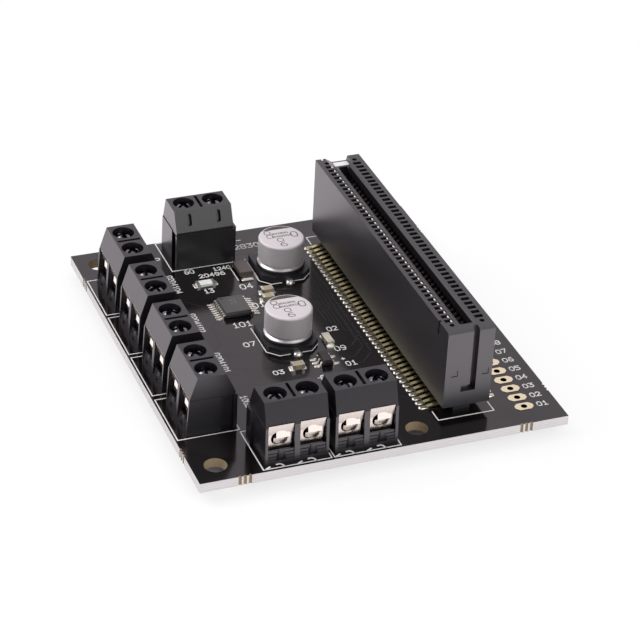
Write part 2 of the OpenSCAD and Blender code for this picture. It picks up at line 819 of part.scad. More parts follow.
module driver_chip_leads() {
    reach = (chip_span - chip[0]) / 2;
    translate([chip_at[0], chip_at[1], top])
        for (i = [0:chip_leads - 1])
            for (a = [0, 180])
                rotate([0, 0, a])
                    translate([chip[0] / 2, (i - (chip_leads - 1) / 2) * chip_pitch, 0])
                        gull_wing(reach, chip_up + chip[2] / 2 + 0.08, 0.15, chip_lead_w);
}

module regulator_chip() {
    color([0.14, 0.14, 0.14])
        translate([regulator_at[0], regulator_at[1], top + 0.1])
            moulded_body(regulator, 0.1);
}

module regulator_leads() {
    translate([regulator_at[0], regulator_at[1], top])
        for (a = [0, 180])
            for (y = a == 0 ? [-0.95, 0.95] : [-0.95, 0, 0.95])
                rotate([0, 0, a])
                    translate([regulator[0] / 2, y, 0])
                        gull_wing(0.65, 0.68, 0.15, 0.4);
}

module diode() {
    color([0.32, 0.27, 0.27])
        translate([diode_place[0], diode_place[1], top + 0.2])
            moulded_body(diode - [0, 0, 0.2], 0.1);
}

// Flat tabs that come out from under both ends of the diode
module diode_tabs() {
    for (s = [-1, 1])
        translate([diode_place[0] - 0.8, diode_place[1] + s * (diode[1] / 2 + 0.1) - 0.5, top])
            cube([1.6, 1, 0.2]);
}

// Each chip part: size, place, end cap and whether it lies along X (0) or along Y (1)
CHIP_PARTS = concat(
    [for (p = ceramic_at) [ceramic, p, 0.45, 0]],
    [[resistor, resistor_at, 0.5, 0], [lamp, lamp_at, 0.55, 1]]);

// Body of a chip part between its end caps
module chip_body(p) {
    s = p[0] - (p[3] == 0 ? [2 * p[2], 0, 0.06] : [0, 2 * p[2], 0.06]);
    translate([p[1][0] - s[0] / 2, p[1][1] - s[1] / 2, top])
        cube(s);
}

module component_end_caps() {
    color([0.82, 0.82, 0.82])
        for (p = CHIP_PARTS) {
            s = p[3] == 0 ? [p[2], p[0][1], p[0][2]] : [p[0][0], p[2], p[0][2]];
            for (e = [-0.5, 0.5])
                translate([p[1][0] - s[0] / 2, p[1][1] - s[1] / 2, top])
                    translate(p[3] == 0 ? [e * (p[0][0] - p[2]), 0, 0] : [0, e * (p[0][1] - p[2]), 0])
                        cube(s);
        }
}

module component_leads() {
    color([0.82, 0.82, 0.82]) {
        driver_chip_leads();
        regulator_leads();
        diode_tabs();
        capacitor_feet(cap_front);
        capacitor_feet(back_place);
    }
}

module ceramic_capacitors() {
    color([0.76, 0.66, 0.52])
        for (i = [0:len(ceramic_at) - 1])
            chip_body(CHIP_PARTS[i]);
}

module resistor() {
    color([0.85, 0.86, 0.84])
        chip_body(CHIP_PARTS[len(ceramic_at)]);
}

module indicator_lamp() {
    color([0.85, 0.78, 0.62])
        chip_body(CHIP_PARTS[len(ceramic_at) + 1]);
}

circuit_board();
header_pads();
solder_joints();
socket_housing();
socket_contacts(-1);  // socket_contacts_left
socket_contacts(1);  // socket_contacts_right
translate(cap_front) capacitor_can();  // capacitor_can_front
translate(back_place) capacitor_can();  // capacitor_can_back
translate(cap_front) capacitor_base();  // capacitor_base_front
translate(back_place) capacitor_base();  // capacitor_base_back
driver_chip();
regulator_chip();
diode();
ceramic_capacitors();
resistor();
indicator_lamp();
component_leads();
component_end_caps();
for (b = BLOCKS) {
    at_block(b) terminal_housing();
    terminal_cages(b);
}
for (i = [0:len(BLOCKS) - 1])
    for (k = [0, 1]) {
        way = str(BLOCKS[i][0], "_", WAYS[k]);
        at_block(BLOCKS[i]) translate([way_x(k), 0, 0]) clamp_screw(37 * (2 * i + k));
        at_block(BLOCKS[i]) translate([way_x(k), 0, 0]) pressure_plate();
    }
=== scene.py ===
import math

import bmesh
import bpy
from mathutils import Euler, Matrix, Vector


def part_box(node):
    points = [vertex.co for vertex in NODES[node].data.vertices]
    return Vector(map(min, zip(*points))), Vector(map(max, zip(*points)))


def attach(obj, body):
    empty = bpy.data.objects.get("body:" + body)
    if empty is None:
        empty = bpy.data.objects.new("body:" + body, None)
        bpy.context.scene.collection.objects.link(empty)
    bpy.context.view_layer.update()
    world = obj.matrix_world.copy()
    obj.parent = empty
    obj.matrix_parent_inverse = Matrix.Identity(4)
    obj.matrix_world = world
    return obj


bl_info = {
    "name": "Motor driver board",
    "version": (1, 0, 0),
    "blender": (4, 5, 0),
    "location": "View3D > Sidebar > Motor Driver",
    "description": "Finishes, printed marks, solder and studio for a motor driver board",
    "category": "Object",
}

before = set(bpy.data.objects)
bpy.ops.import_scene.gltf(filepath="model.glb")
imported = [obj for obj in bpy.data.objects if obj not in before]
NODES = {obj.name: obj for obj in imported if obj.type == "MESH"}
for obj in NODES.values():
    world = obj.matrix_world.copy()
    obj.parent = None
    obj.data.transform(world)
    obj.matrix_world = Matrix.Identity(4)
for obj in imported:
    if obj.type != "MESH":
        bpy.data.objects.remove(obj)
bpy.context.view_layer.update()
MM = 0.001

# The board's highest corner, in metres, and its top face, in millimetres
BOARD_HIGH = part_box("circuit_board")[1]
FACE = BOARD_HIGH[2] / MM
BLOCKS = [n[len("terminal_housing_"):] for n in sorted(NODES) if n.startswith("terminal_housing_")]
SCREWS = sorted(n for n in NODES if n.startswith("clamp_screw_"))
PLATES = sorted(n for n in NODES if n.startswith("pressure_plate_"))


# ---------------------------------------------------------------- settings

def colour(name, hex_code, text):
    """A colour property whose default is an sRGB hex value."""
    return bpy.props.FloatVectorProperty(
        name=name, description=text, subtype="COLOR", size=3, min=0, max=1, default=linear(hex_code)[:3])


def length(name, millimetres, text):
    """A length property in metres whose default is given in millimetres."""
    return bpy.props.FloatProperty(
        name=name, description=text, subtype="DISTANCE", unit="LENGTH", precision=6, min=0,
        default=millimetres * MM)


def linear(hex_code):
    """An sRGB hex value as linear RGBA."""
    values = [int(hex_code[i:i + 2], 16) / 255 for i in (1, 3, 5)]
    return tuple(v / 12.92 if v <= 0.04045 else ((v + 0.055) / 1.055) ** 2.4 for v in values) + (1.0,)


class DriverBoardSizes(bpy.types.PropertyGroup):
    ink_width: length("Ink width", 0.2, "Width of the printed lines")
    ink_height: length("Ink height", 0.02, "Thickness of the printed ink")
    digit_height: length("Digit height", 1.0, "Height of the numbers along the header row")
    track_width: length("Track width", 0.28, "Width of the copper tracks under the mask")
    track_height: length("Track height", 0.015, "Height of the copper tracks under the mask")
    fillet_height: length("Fillet height", 0.22, "Height of the solder over a lead's foot")
    pad_margin: length("Pad margin", 0.3, "Distance that a solder pad reaches past its lead")


class DriverBoardColours(bpy.types.PropertyGroup):
    mask: colour("Solder mask", "#0e0b0c", "Black solder mask over bare laminate")
    mask_copper: colour("Mask over copper", "#161213", "Black solder mask over copper")
    laminate: colour("Laminate edge", "#cdc9ca", "Routed edge of the glass-fibre laminate")
    laminate_bore: colour("Laminate bore", "#8d7c62", "Drilled or snapped laminate")
    ink: colour("Legend ink", "#e9e7e6", "White legend ink")
    can_ink: colour("Can ink", "#3a3332", "Marking ink on the cans where it lies thick")
    can_ink_thin: colour("Thin can ink", "#5a504d", "Marking ink on the cans where it lies thin")
    laser_mark: colour("Laser mark", "#6d6e6b", "Figures burnt into the driver chip")
    housing: colour("Terminal plastic", "#161418", "Black plastic of the terminal blocks")
    socket: colour("Socket plastic", "#19181d", "Black plastic of the card socket")
    nickel: colour("Nickel", "#c1bbb2", "Bright nickel on the cages")
    screw: colour("Screw finish", "#77757b", "Dark nickel on the clamp screws")
    gold: colour("Gold", "#f0e6c2", "Immersion gold on the header pads")
    # painted shade: the gold down the holes is given this dark colour for the shade in the bores
    gold_in_shaded_bore: colour("Gold in the bores", "#4a3513", "Duller gold down the header holes")
    contact: colour("Contact finish", "#cfc598", "Tinned and gold-flashed tails of the socket contacts")
    # painted shade: the springs are given this dark colour because they lie in the shade inside the socket
    spring: colour("Contact spring", "#2c241a", "Bare bronze of the contact springs")
    solder: colour("Solder", "#eeebe2", "Bright tin solder")
    can: colour("Can", "#f1eeef", "Drawn aluminium can")
    epoxy: colour("Chip epoxy", "#484847", "Moulded epoxy of the chips")
    diode: colour("Diode epoxy", "#4a3d3b", "Brown moulded epoxy of the diode")
    ceramic: colour("Ceramic", "#a89a80", "Fired ceramic of the chip capacitors")
    resistor: colour("Resistor body", "#eeeee8", "Pale body of the resistor")
    lamp_resin: colour("Lamp resin", "#ede4cd", "Clear resin over the pale carrier of the indicator lamp")
    floor: colour("Floor", "#f4f4f4", "Studio floor")
    sweep: colour("Lit sweep", "#fff6fd", "Tint of the lit floor and backdrop in glossy parts")


class DriverBoardStudio(bpy.types.PropertyGroup):
    lens: bpy.props.FloatProperty(
        name="Lens", description="Focal length of the camera", default=142.03, min=10, unit="CAMERA")
    camera_place: bpy.props.FloatVectorProperty(
        name="Camera place", description="Place of the camera above the pins", subtype="TRANSLATION", size=3,
        unit="LENGTH", default=(-0.12773, -0.31332, 0.21558 + FACE * MM))
    camera_turn: bpy.props.FloatVectorProperty(
        name="Camera turn", description="Turn of the camera about X, Y and Z", subtype="EULER", size=3,
        unit="ROTATION", default=tuple(math.radians(a) for a in (57.7637, -2.5004, -20.8726)))
    key_power: bpy.props.FloatProperty(
        name="Key power", description="Power of the key light", subtype="POWER", unit="POWER", default=1.1, min=0)
    fill_power: bpy.props.FloatProperty(
        name="Fill power", description="Power of the fill light", subtype="POWER", unit="POWER",
        default=1.1, min=0)
    sky_level: bpy.props.FloatProperty(
        name="Sky level", description="Brightness of the surround as light", default=0.75, min=0)


def sizes():
    return bpy.context.scene.driver_board_sizes


def colours():
    return bpy.context.scene.driver_board_colours


def studio():
    return bpy.context.scene.driver_board_studio


# ---------------------------------------------------------------- materials

# Refraction of the cured mask film
MASK_IOR = 1.52
# Length of one band of a wave texture at a scale of one
WAVE_PERIOD = math.pi / 10
# Sockets of a Mix node that mixes colours
MIX_SHARE, MIX_FROM, MIX_TO, MIXED = 0, 6, 7, 2


def add_node(tree, kind, inputs=(), **settings):
    """Adds a node with its settings. inputs gives each input its value or the output that feeds it."""
    node = tree.nodes.new(kind)
    for key, value in settings.items():
        setattr(node, key, value)
    for key, value in dict(inputs).items():
        if isinstance(value, bpy.types.NodeSocket):
            tree.links.new(value, node.inputs[key])
        else:
            node.inputs[key].default_value = value
    return node


def new_material(name, base, **uniform):
    """A material, its tree and its Principled shader, built anew if the material is there already.

    uniform holds values set on the shader's own sockets.
    """
    made = bpy.data.materials.get(name) or bpy.data.materials.new(name)
    made.use_nodes = True
    tree = made.node_tree
    tree.nodes.clear()
    shader = add_node(tree, "ShaderNodeBsdfPrincipled", {"Base Color": rgba(base)})
    for key, value in uniform.items():
        shader.inputs[key.replace("_", " ")].default_value = value
    add_node(tree, "ShaderNodeOutputMaterial", {"Surface": shader.outputs[0]})
    return made, tree, shader


def rgba(value):
    """A colour with an alpha of one."""
    return tuple(value)[:3] + (1.0,)


def scaled(value, factor):
    """A colour made lighter or darker."""
    return tuple(min(1.0, v * factor) for v in tuple(value)[:3]) + (1.0,)


def row_coords(tree):
    """Object coordinates, which are the row frame in metres for every node."""
    return add_node(tree, "ShaderNodeTexCoord").outputs["Object"]


def row_axes(tree):
    """X, Y and Z of the row frame, in metres."""
    return add_node(tree, "ShaderNodeSeparateXYZ", {0: row_coords(tree)}).outputs


def speckle(tree, size_mm, detail=2.0, stretch=(1, 1, 1)):
    """A random pattern whose specks are about size_mm wide. stretch below 1 draws them out along an axis."""
    place = add_node(tree, "ShaderNodeMapping", {"Vector": row_coords(tree), "Scale": stretch})
    return add_node(tree, "ShaderNodeTexNoise", {
        "Vector": place.outputs[0], "Scale": 1 / (size_mm * MM), "Detail": detail, "Roughness": 0.55}).outputs[0]


def apply_pattern(tree, shader, pattern, tones=None, roughs=None, depth_mm=None):
    """Lets a pattern vary a shader's colour between two tones, its roughness between two values and its relief."""
    if tones:
        mixed = add_node(tree, "ShaderNodeMix", {
            MIX_SHARE: pattern, MIX_FROM: tones[0], MIX_TO: tones[1]}, data_type="RGBA")
        tree.links.new(mixed.outputs[MIXED], shader.inputs["Base Color"])
    if roughs:
        # nearly all of a speckle lies between a quarter and three quarters
        ranged = add_node(tree, "ShaderNodeMapRange", {
            "Value": pattern, "From Min": 0.25, "From Max": 0.75, "To Min": roughs[0], "To Max": roughs[1]})
        tree.links.new(ranged.outputs[0], shader.inputs["Roughness"])
    if depth_mm:
        relief = add_node(tree, "ShaderNodeBump", {"Height": pattern, "Distance": depth_mm * MM, "Strength": 1.0})
        tree.links.new(relief.outputs[0], shader.inputs["Normal"])


def on_flat_face(tree):
    """1 on faces that lie flat and 0 on upright ones."""
    normal = add_node(tree, "ShaderNodeNewGeometry").outputs["True Normal"]
    rise = add_node(tree, "ShaderNodeSeparateXYZ", {0: normal}).outputs[2]
    size = add_node(tree, "ShaderNodeMath", {0: rise}, operation="ABSOLUTE").outputs[0]
    return add_node(tree, "ShaderNodeMath", {0: size, 1: 0.5}, operation="GREATER_THAN").outputs[0]


def within_board(tree, place, inset_mm):
    """1 over or under the board, further than inset_mm from its edges, and 0 elsewhere. place is X, Y and Z."""
    inside = []
    for axis in (0, 1):
        size = add_node(tree, "ShaderNodeMath", {0: place[axis]}, operation="ABSOLUTE").outputs[0]
        reach = BOARD_HIGH[axis] - inset_mm * MM
        inside.append(add_node(tree, "ShaderNodeMath", {0: size, 1: reach}, operation="LESS_THAN").outputs[0])
    return add_node(tree, "ShaderNodeMath", dict(enumerate(inside)), operation="MULTIPLY").outputs[0]


def solder_mask_board():
    """Glossy black solder mask, cured as a liquid film: a mirror with faint orange peel. Routed laminate edges."""
    made, tree, shader = new_material("solder_mask_on_laminate", colours().mask, IOR=MASK_IOR)
    on_face = on_flat_face(tree)
    # copper pours lie a shade lighter under the film, about 9 mm across
    pour = add_node(tree, "ShaderNodeTexVoronoi", {"Vector": row_coords(tree), "Scale": 1 / (9 * MM)},
                    distance="CHEBYCHEV").outputs["Color"]
    tone = add_node(tree, "ShaderNodeSeparateColor", {0: pour}).outputs[0]
    share = add_node(tree, "ShaderNodeMapRange", {"Value": tone, "From Min": 0.25, "From Max": 0.75}).outputs[0]
    film = add_node(tree, "ShaderNodeMix", {
        MIX_SHARE: share, MIX_FROM: rgba(colours().mask), MIX_TO: rgba(colours().mask_copper)},
        data_type="RGBA").outputs[MIXED]
    # glass cloth shows on the cut edge as plies: those of 0.2 mm are drawn at 0.395 mm so that they show
    plies = add_node(tree, "ShaderNodeTexWave", {
        "Vector": row_coords(tree), "Scale": WAVE_PERIOD / (0.395 * MM), "Distortion": 3.0, "Detail": 2.0},
        bands_direction="Z").outputs["Fac"]
    edge = add_node(tree, "ShaderNodeMix", {
        MIX_SHARE: plies, MIX_FROM: rgba(colours().laminate), MIX_TO: scaled(colours().laminate, 0.86)},
        data_type="RGBA").outputs[MIXED]
    # walls further in than 0.05 mm are those of holes
    inside = within_board(tree, row_axes(tree), 0.05)
    cut = add_node(tree, "ShaderNodeMix", {
        MIX_SHARE: inside, MIX_FROM: edge, MIX_TO: rgba(colours().laminate_bore)}, data_type="RGBA").outputs[MIXED]
    surface = add_node(tree, "ShaderNodeMix", {
        MIX_SHARE: on_face, MIX_FROM: cut, MIX_TO: film}, data_type="RGBA").outputs[MIXED]
    tree.links.new(surface, shader.inputs["Base Color"])
    # the cut laminate is matt and the film is glossy
    rough = add_node(tree, "ShaderNodeMapRange", {"Value": on_face, "To Min": 0.75, "To Max": 0.13}).outputs[0]
    tree.links.new(rough, shader.inputs["Roughness"])
    # orange peel of the cured film, 1.5 mm across and a few microns deep
    apply_pattern(tree, shader, speckle(tree, 1.5, 1.0), depth_mm=0.006)
    return made


def masked_copper():
    """The same mask where it runs over a track: glossy, a shade lighter."""
    made, tree, shader = new_material(
        "solder_mask_on_copper", colours().mask_copper, IOR=MASK_IOR, Roughness=0.16)
    apply_pattern(tree, shader, speckle(tree, 0.6, 1.0), depth_mm=0.004)
    return made


def legend_ink():
    """White epoxy legend ink, screen printed: matt, with a slightly uneven film."""
    made, tree, shader = new_material("white_legend_ink", colours().ink, IOR=1.5, Roughness=0.55)
    # ink film varies over about 0.4 mm
    apply_pattern(tree, shader, speckle(tree, 0.4), (scaled(colours().ink, 0.86), rgba(colours().ink)))
    return made


def moulded_plastic(name, base, grain_mm, depth_mm, rough, ior=1.57):
    """A glass-filled black moulding from a spark-eroded tool: satin, with a fine even grain."""
    made, tree, shader = new_material(name, base, IOR=ior)
    # the filler clouds the black a little over 3 mm
    apply_pattern(tree, shader, speckle(tree, 3.0), tones=(scaled(base, 0.88), scaled(base, 1.12)))
    apply_pattern(tree, shader, speckle(tree, grain_mm, 3.0),
                  roughs=(rough - 0.04, rough + 0.05), depth_mm=depth_mm)
    return made


def terminal_plastic():
    # grain of 0.12 mm shows as a soft sheen; the real one is nearer 0.03 mm
    return moulded_plastic("black_moulded_polyamide", colours().housing, 0.12, 0.003, 0.3)


def socket_plastic():
    # liquid crystal polymer comes out of the tool smoother than polyamide
    return moulded_plastic("black_moulded_liquid_crystal_polymer", colours().socket, 0.15, 0.0008, 0.34, 1.66)


def base_plastic():
    # the same black in a coarser tool
    return moulded_plastic("black_moulded_capacitor_base", colours().socket, 0.12, 0.002, 0.42)


def plated_metal(name, base, rough, grain_mm, stretch=(1, 1, 1), depth_mm=0.0015, dull=0.93):
    """A plated or drawn metal: clear reflections, blurred a little along the working direction."""
    made, tree, shader = new_material(name, base, Metallic=1.0)
    apply_pattern(tree, shader, speckle(tree, grain_mm, 3.0, stretch), (scaled(base, dull), rgba(base)),
                  (rough * 0.8, rough * 1.25), depth_mm)
    return made


def bright_nickel():
    # stamped strip, nickel plated: upright rolling lines, drawn 0.14 mm apart so that they show
    return plated_metal("bright_nickel_on_brass", colours().nickel, 0.28, 0.14, (1, 1, 0.3), 0.004, 0.78)


def nickel_painted_lighter():
    # the same plating, painted 1.6 times lighter and with fainter rolling lines: painted light for the left row,
    # which faces the key light
    return plated_metal(
        "polished_nickel_on_brass", scaled(colours().nickel, 1.6), 0.22, 0.14, (1, 1, 0.3), 0.002, 0.9)


def screw_nickel():
    # black nickel plating: a dark mirror in which only the lamps show bright
    return plated_metal("black_nickel_on_steel", colours().screw, 0.12, 0.2)


def zinc_plate():
    # bright zinc: a shade greyer than the nickel, with 0.15 mm crystals
    return plated_metal("zinc_plated_steel", scaled(colours().nickel, 0.9), 0.3, 0.15)


def bright_solder():
    # tin solder sets with a soft, slightly wavy skin, 0.4 mm from wave to wave
    return plated_metal("bright_tin_solder", colours().solder, 0.32, 0.4)


def immersion_gold():
    """Immersion gold on the pads: pale and satin. The barrels inside the holes are painted darker and browner:
    painted shade.
    """
    made, tree, shader = new_material("immersion_gold_on_copper", colours().gold, Metallic=1.0)
    # etched copper under the gold is grained at about 0.1 mm
    grain = speckle(tree, 0.1, 3.0)
    pad = add_node(tree, "ShaderNodeMix", {
        MIX_SHARE: grain, MIX_FROM: scaled(colours().gold, 0.93), MIX_TO: rgba(colours().gold)},
        data_type="RGBA").outputs[MIXED]
    # upright faces, the barrels in the holes, take the dark gold: painted shade
    surface = add_node(tree, "ShaderNodeMix", {
        MIX_SHARE: on_flat_face(tree), MIX_FROM: rgba(colours().gold_in_shaded_bore), MIX_TO: pad}, data_type="RGBA")
    tree.links.new(surface.outputs[MIXED], shader.inputs["Base Color"])
    apply_pattern(tree, shader, grain, roughs=(0.22, 0.35), depth_mm=0.0015)
    return made


def contact_metal():
    """Contacts in the socket: bright tails under the housing, and springs inside it painted near black: painted
    shade.
    """
    made, tree, shader = new_material("tinned_phosphor_bronze", colours().contact, Metallic=1.0)
    # the strip is rolled along its length: 0.1 mm lines
    grain = speckle(tree, 0.1, 3.0, (0.3, 1, 0.3))
    bright = add_node(tree, "ShaderNodeMix", {
        MIX_SHARE: grain, MIX_FROM: scaled(colours().contact, 0.93), MIX_TO: rgba(colours().contact)},
        data_type="RGBA").outputs[MIXED]
    # from 2 to 3 mm above the board, inside the housing, the bright tails give way to the dark spring colour,
    # which is painted shade
    inside = add_node(tree, "ShaderNodeMapRange", {
        "Value": row_axes(tree)[2], "From Min": (FACE + 2.0) * MM, "From Max": (FACE + 3.0) * MM}).outputs[0]
    surface = add_node(tree, "ShaderNodeMix", {
        MIX_SHARE: inside, MIX_FROM: bright, MIX_TO: rgba(colours().spring)}, data_type="RGBA")
    tree.links.new(surface.outputs[MIXED], shader.inputs["Base Color"])
    apply_pattern(tree, shader, grain, roughs=(0.2, 0.3), depth_mm=0.0015)
    return made


def can_aluminium():
    """Drawn aluminium, satin, with a burnished crimp round the foot of the can."""
    made, tree, shader = new_material("drawn_aluminium", colours().can, Metallic=1.0)
    # deep drawing leaves upright streaks about 0.15 mm apart
    grain = speckle(tree, 0.15, 3.0, (1, 1, 0.08))
    apply_pattern(tree, shader, grain, tones=(scaled(colours().can, 0.88), rgba(colours().can)), depth_mm=0.0015)
    satin = add_node(tree, "ShaderNodeMapRange", {
        "Value": grain, "From Min": 0.25, "From Max": 0.75, "To Min": 0.68, "To Max": 0.86}).outputs[0]
    # the crimp lies below the groove, 2 mm above the board
    above = add_node(tree, "ShaderNodeMapRange", {
        "Value": row_axes(tree)[2], "From Min": (FACE + 1.85) * MM, "From Max": (FACE + 2.0) * MM}).outputs[0]
    rough = add_node(tree, "ShaderNodeMapRange", {"Value": above, "To Min": 0.42, "To Max": satin}).outputs[0]
    tree.links.new(rough, shader.inputs["Roughness"])
    return made


def filled_body(name, base, rough):
    """A body of filled epoxy or fired ceramic: matt, with tiny bright and dark specks."""
    made, tree, shader = new_material(name, base, IOR=1.55)
    # filler of 0.05 mm is drawn at 0.1 mm so that it shows
    apply_pattern(tree, shader, speckle(tree, 0.1, 4.0), (scaled(base, 0.75), scaled(base, 1.25)),
                  (rough - 0.06, rough + 0.06), 0.003)
    return made


def lamp_resin():
    """Clear resin cast over a pale carrier: glossy and nearly even."""
    made, tree, shader = new_material("clear_resin_on_carrier", colours().lamp_resin, IOR=1.5, Roughness=0.25)
    # the carrier's grain of 0.2 mm shows faintly through the resin
    tones = (scaled(colours().lamp_resin, 0.96), scaled(colours().lamp_resin, 1.04))
    apply_pattern(tree, shader, speckle(tree, 0.2), tones)
    return made


def dark_ink():
    """Dark marking ink on aluminium: matt, and paler where it lies thin."""
    made, tree, shader = new_material("dark_marking_ink", colours().can_ink, IOR=1.5, Roughness=0.6)
    # the film varies over about 0.3 mm
    apply_pattern(tree, shader, speckle(tree, 0.3), (rgba(colours().can_ink), rgba(colours().can_ink_thin)))
    return made


def laser_mark():
    """Laser mark in moulding compound: the same matt surface burnt a paler grey."""
    return filled_body("laser_marked_epoxy", colours().laser_mark, 0.6)


# Brightness of the floor in glossy parts: that of its nearest part, then where each change along Y starts and
# ends, in millimetres, and the brightness after it: a lit strip before the board, and the sweep behind
FLOOR_NEAR = 0.6
FLOOR_BANDS = ((-110, -60, 2.9), (-45, -33, 1.75))


def studio_floor():
    """Matt white floor that keeps the shadow, shows as white, and is a lit sweep in glossy parts."""
    made, tree, shader = new_material("matt_studio_floor", colours().floor, Roughness=0.9)
    path = add_node(tree, "ShaderNodeLightPath").outputs
    place = row_axes(tree)
    seen = path["Is Camera Ray"]
    for ray in ("Is Glossy Ray", "Is Transmission Ray"):
        seen = add_node(tree, "ShaderNodeMath", {0: seen, 1: path[ray]}, operation="MAXIMUM").outputs[0]
    # three quarters of what the eye sees is plain white, and the rest takes the shadow
    white = add_node(tree, "ShaderNodeMath", {0: seen, 1: 0.75}, operation="MULTIPLY").outputs[0]
    # under the board, 3.2 mm in from its edges, the floor is only as bright as the light that gets there
    white = add_node(tree, "ShaderNodeMapRange", {
        "Value": within_board(tree, place, 3.2), "To Min": white, "To Max": 0.0}).outputs[0]
    lit = FLOOR_NEAR
    for start, end, level in FLOOR_BANDS:
        lit = add_node(tree, "ShaderNodeMapRange", {
            "Value": place[1], "From Min": start * MM, "From Max": end * MM,
            "To Min": lit, "To Max": level}).outputs[0]
    strength = add_node(tree, "ShaderNodeMapRange", {
        "Value": path["Is Glossy Ray"], "To Min": 1.0, "To Max": lit}).outputs[0]
    tint = add_node(tree, "ShaderNodeMix", {
        MIX_SHARE: path["Is Glossy Ray"], MIX_FROM: (1, 1, 1, 1), MIX_TO: rgba(colours().sweep)},
        data_type="RGBA").outputs[MIXED]
    glow = add_node(tree, "ShaderNodeEmission", {"Color": tint, "Strength": strength})
    both = add_node(tree, "ShaderNodeMixShader", {0: white, 1: shader.outputs[0], 2: glow.outputs[0]})
    out = next(n for n in tree.nodes if n.type == "OUTPUT_MATERIAL")
    tree.links.new(both.outputs[0], out.inputs["Surface"])
    return made


def studio_surround():
    """A white world and even light, with a backdrop, a dimmer ceiling and a dark room in glossy parts."""
    world = bpy.data.worlds.new("studio_surround")
    world.use_nodes = True
    tree = world.node_tree
    tree.nodes.clear()
    path = add_node(tree, "ShaderNodeLightPath").outputs
    way = add_node(tree, "ShaderNodeSeparateXYZ", {
        0: add_node(tree, "ShaderNodeTexCoord").outputs["Generated"]}).outputs
    # the backdrop is bright up to about 40 degrees and the ceiling above it is dimmer
    ceiling = add_node(tree, "ShaderNodeMapRange", {
        "Value": way[2], "From Min": 0.55, "From Max": 0.8, "To Min": 1.0, "To Max": 0.6}).outputs[0]
    # the room in front of the table is unlit
    room = add_node(tree, "ShaderNodeMapRange", {
        "Value": way[1], "From Min": -0.5, "From Max": 0.0, "To Min": 0.18, "To Max": 1.0}).outputs[0]
    level = add_node(tree, "ShaderNodeMath", {0: ceiling, 1: room}, operation="MULTIPLY").outputs[0]
    light = add_node(tree, "ShaderNodeBackground", {"Color": (1, 1, 1, 1), "Strength": studio().sky_level})
    mirror = add_node(tree, "ShaderNodeBackground", {"Color": rgba(colours().sweep), "Strength": level})
    white = add_node(tree, "ShaderNodeBackground", {"Color": (1, 1, 1, 1), "Strength": 1.0})
    glossy = add_node(tree, "ShaderNodeMixShader", {
        0: path["Is Glossy Ray"], 1: light.outputs[0], 2: mirror.outputs[0]})
    seen = add_node(tree, "ShaderNodeMath", {
        0: path["Is Camera Ray"], 1: path["Is Transmission Ray"]}, operation="MAXIMUM")
    both = add_node(tree, "ShaderNodeMixShader", {0: seen.outputs[0], 1: glossy.outputs[0], 2: white.outputs[0]})
    add_node(tree, "ShaderNodeOutputWorld", {"Surface": both.outputs[0]})
    return world


def give(names, material):
    """Puts a material on CAD nodes, and stops where the frame has no such node."""
    for name in names:
        if name not in NODES:
            raise RuntimeError(f"the frame has no node named {name}")
        data = NODES[name].data
        if not data.materials:
            data.materials.append(material)
        for i in range(len(data.materials)):
            data.materials[i] = material


# ---------------------------------------------------------------- mesh helpers

# Solder mound: how far each ring is drawn in, as a share of the width, and its height as a share
MOUND = ((0.0, 0.0), (0.03, 0.3), (0.11, 0.72), (0.22, 0.94), (0.36, 1.0))
# Section of a bead of ink or copper: place across it as a share of its width, and height as a share
BEAD = ((-0.5, 0), (-0.38, 1), (0.38, 1), (0.5, 0))


def box_mm(node):
    """A node's lowest and highest corners at rest, in millimetres."""
    low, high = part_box(node)
    return low / MM, high / MM


def stack(bm, rings):
    """Closes a stack of rings of points [x, y, z] into one skin."""
    made = [[bm.verts.new(p) for p in ring] for ring in rings]
    for a, b in zip(made, made[1:]):
        for i in range(len(a)):
            j = (i + 1) % len(a)
            bm.faces.new((a[i], a[j], b[j], b[i]))
    bm.faces.new(made[0][::-1])
    bm.faces.new(made[-1])


def solder_mound(bm, centre, size, height):
    """Solder that has wetted a pad: a rounded mound of size [x, y] on the board's face."""
    rings = []
    for inset, level in MOUND:
        reach = inset * min(size)
        a, b = size[0] / 2 - reach, size[1] / 2 - reach
        # corners cut at about a third
        c = min(a, b) * 0.35
        corners = ((a, c - b), (a, b - c), (a - c, b), (c - a, b),
                   (-a, b - c), (-a, c - b), (c - a, -b), (a - c, -b))
        rings.append([(centre[0] + x, centre[1] + y, FACE + height * level) for x, y in corners])
    stack(bm, rings)


def make_piece(name, bm, material, smooth=None):
    """A piece of the board from a bmesh that is in millimetres. smooth is an angle in degrees."""
    bmesh.ops.scale(bm, vec=(MM, MM, MM), verts=bm.verts)
    bmesh.ops.recalc_face_normals(bm, faces=bm.faces)
    data = bpy.data.meshes.new(name)
    bm.to_mesh(data)
    bm.free()
    if smooth:
        for face in data.polygons:
            face.use_smooth = True
        data.set_sharp_from_angle(angle=math.radians(smooth))
    data.materials.append(material)
    piece = bpy.data.objects.new(name, data)
    bpy.context.scene.collection.objects.link(piece)
    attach(piece, "root")


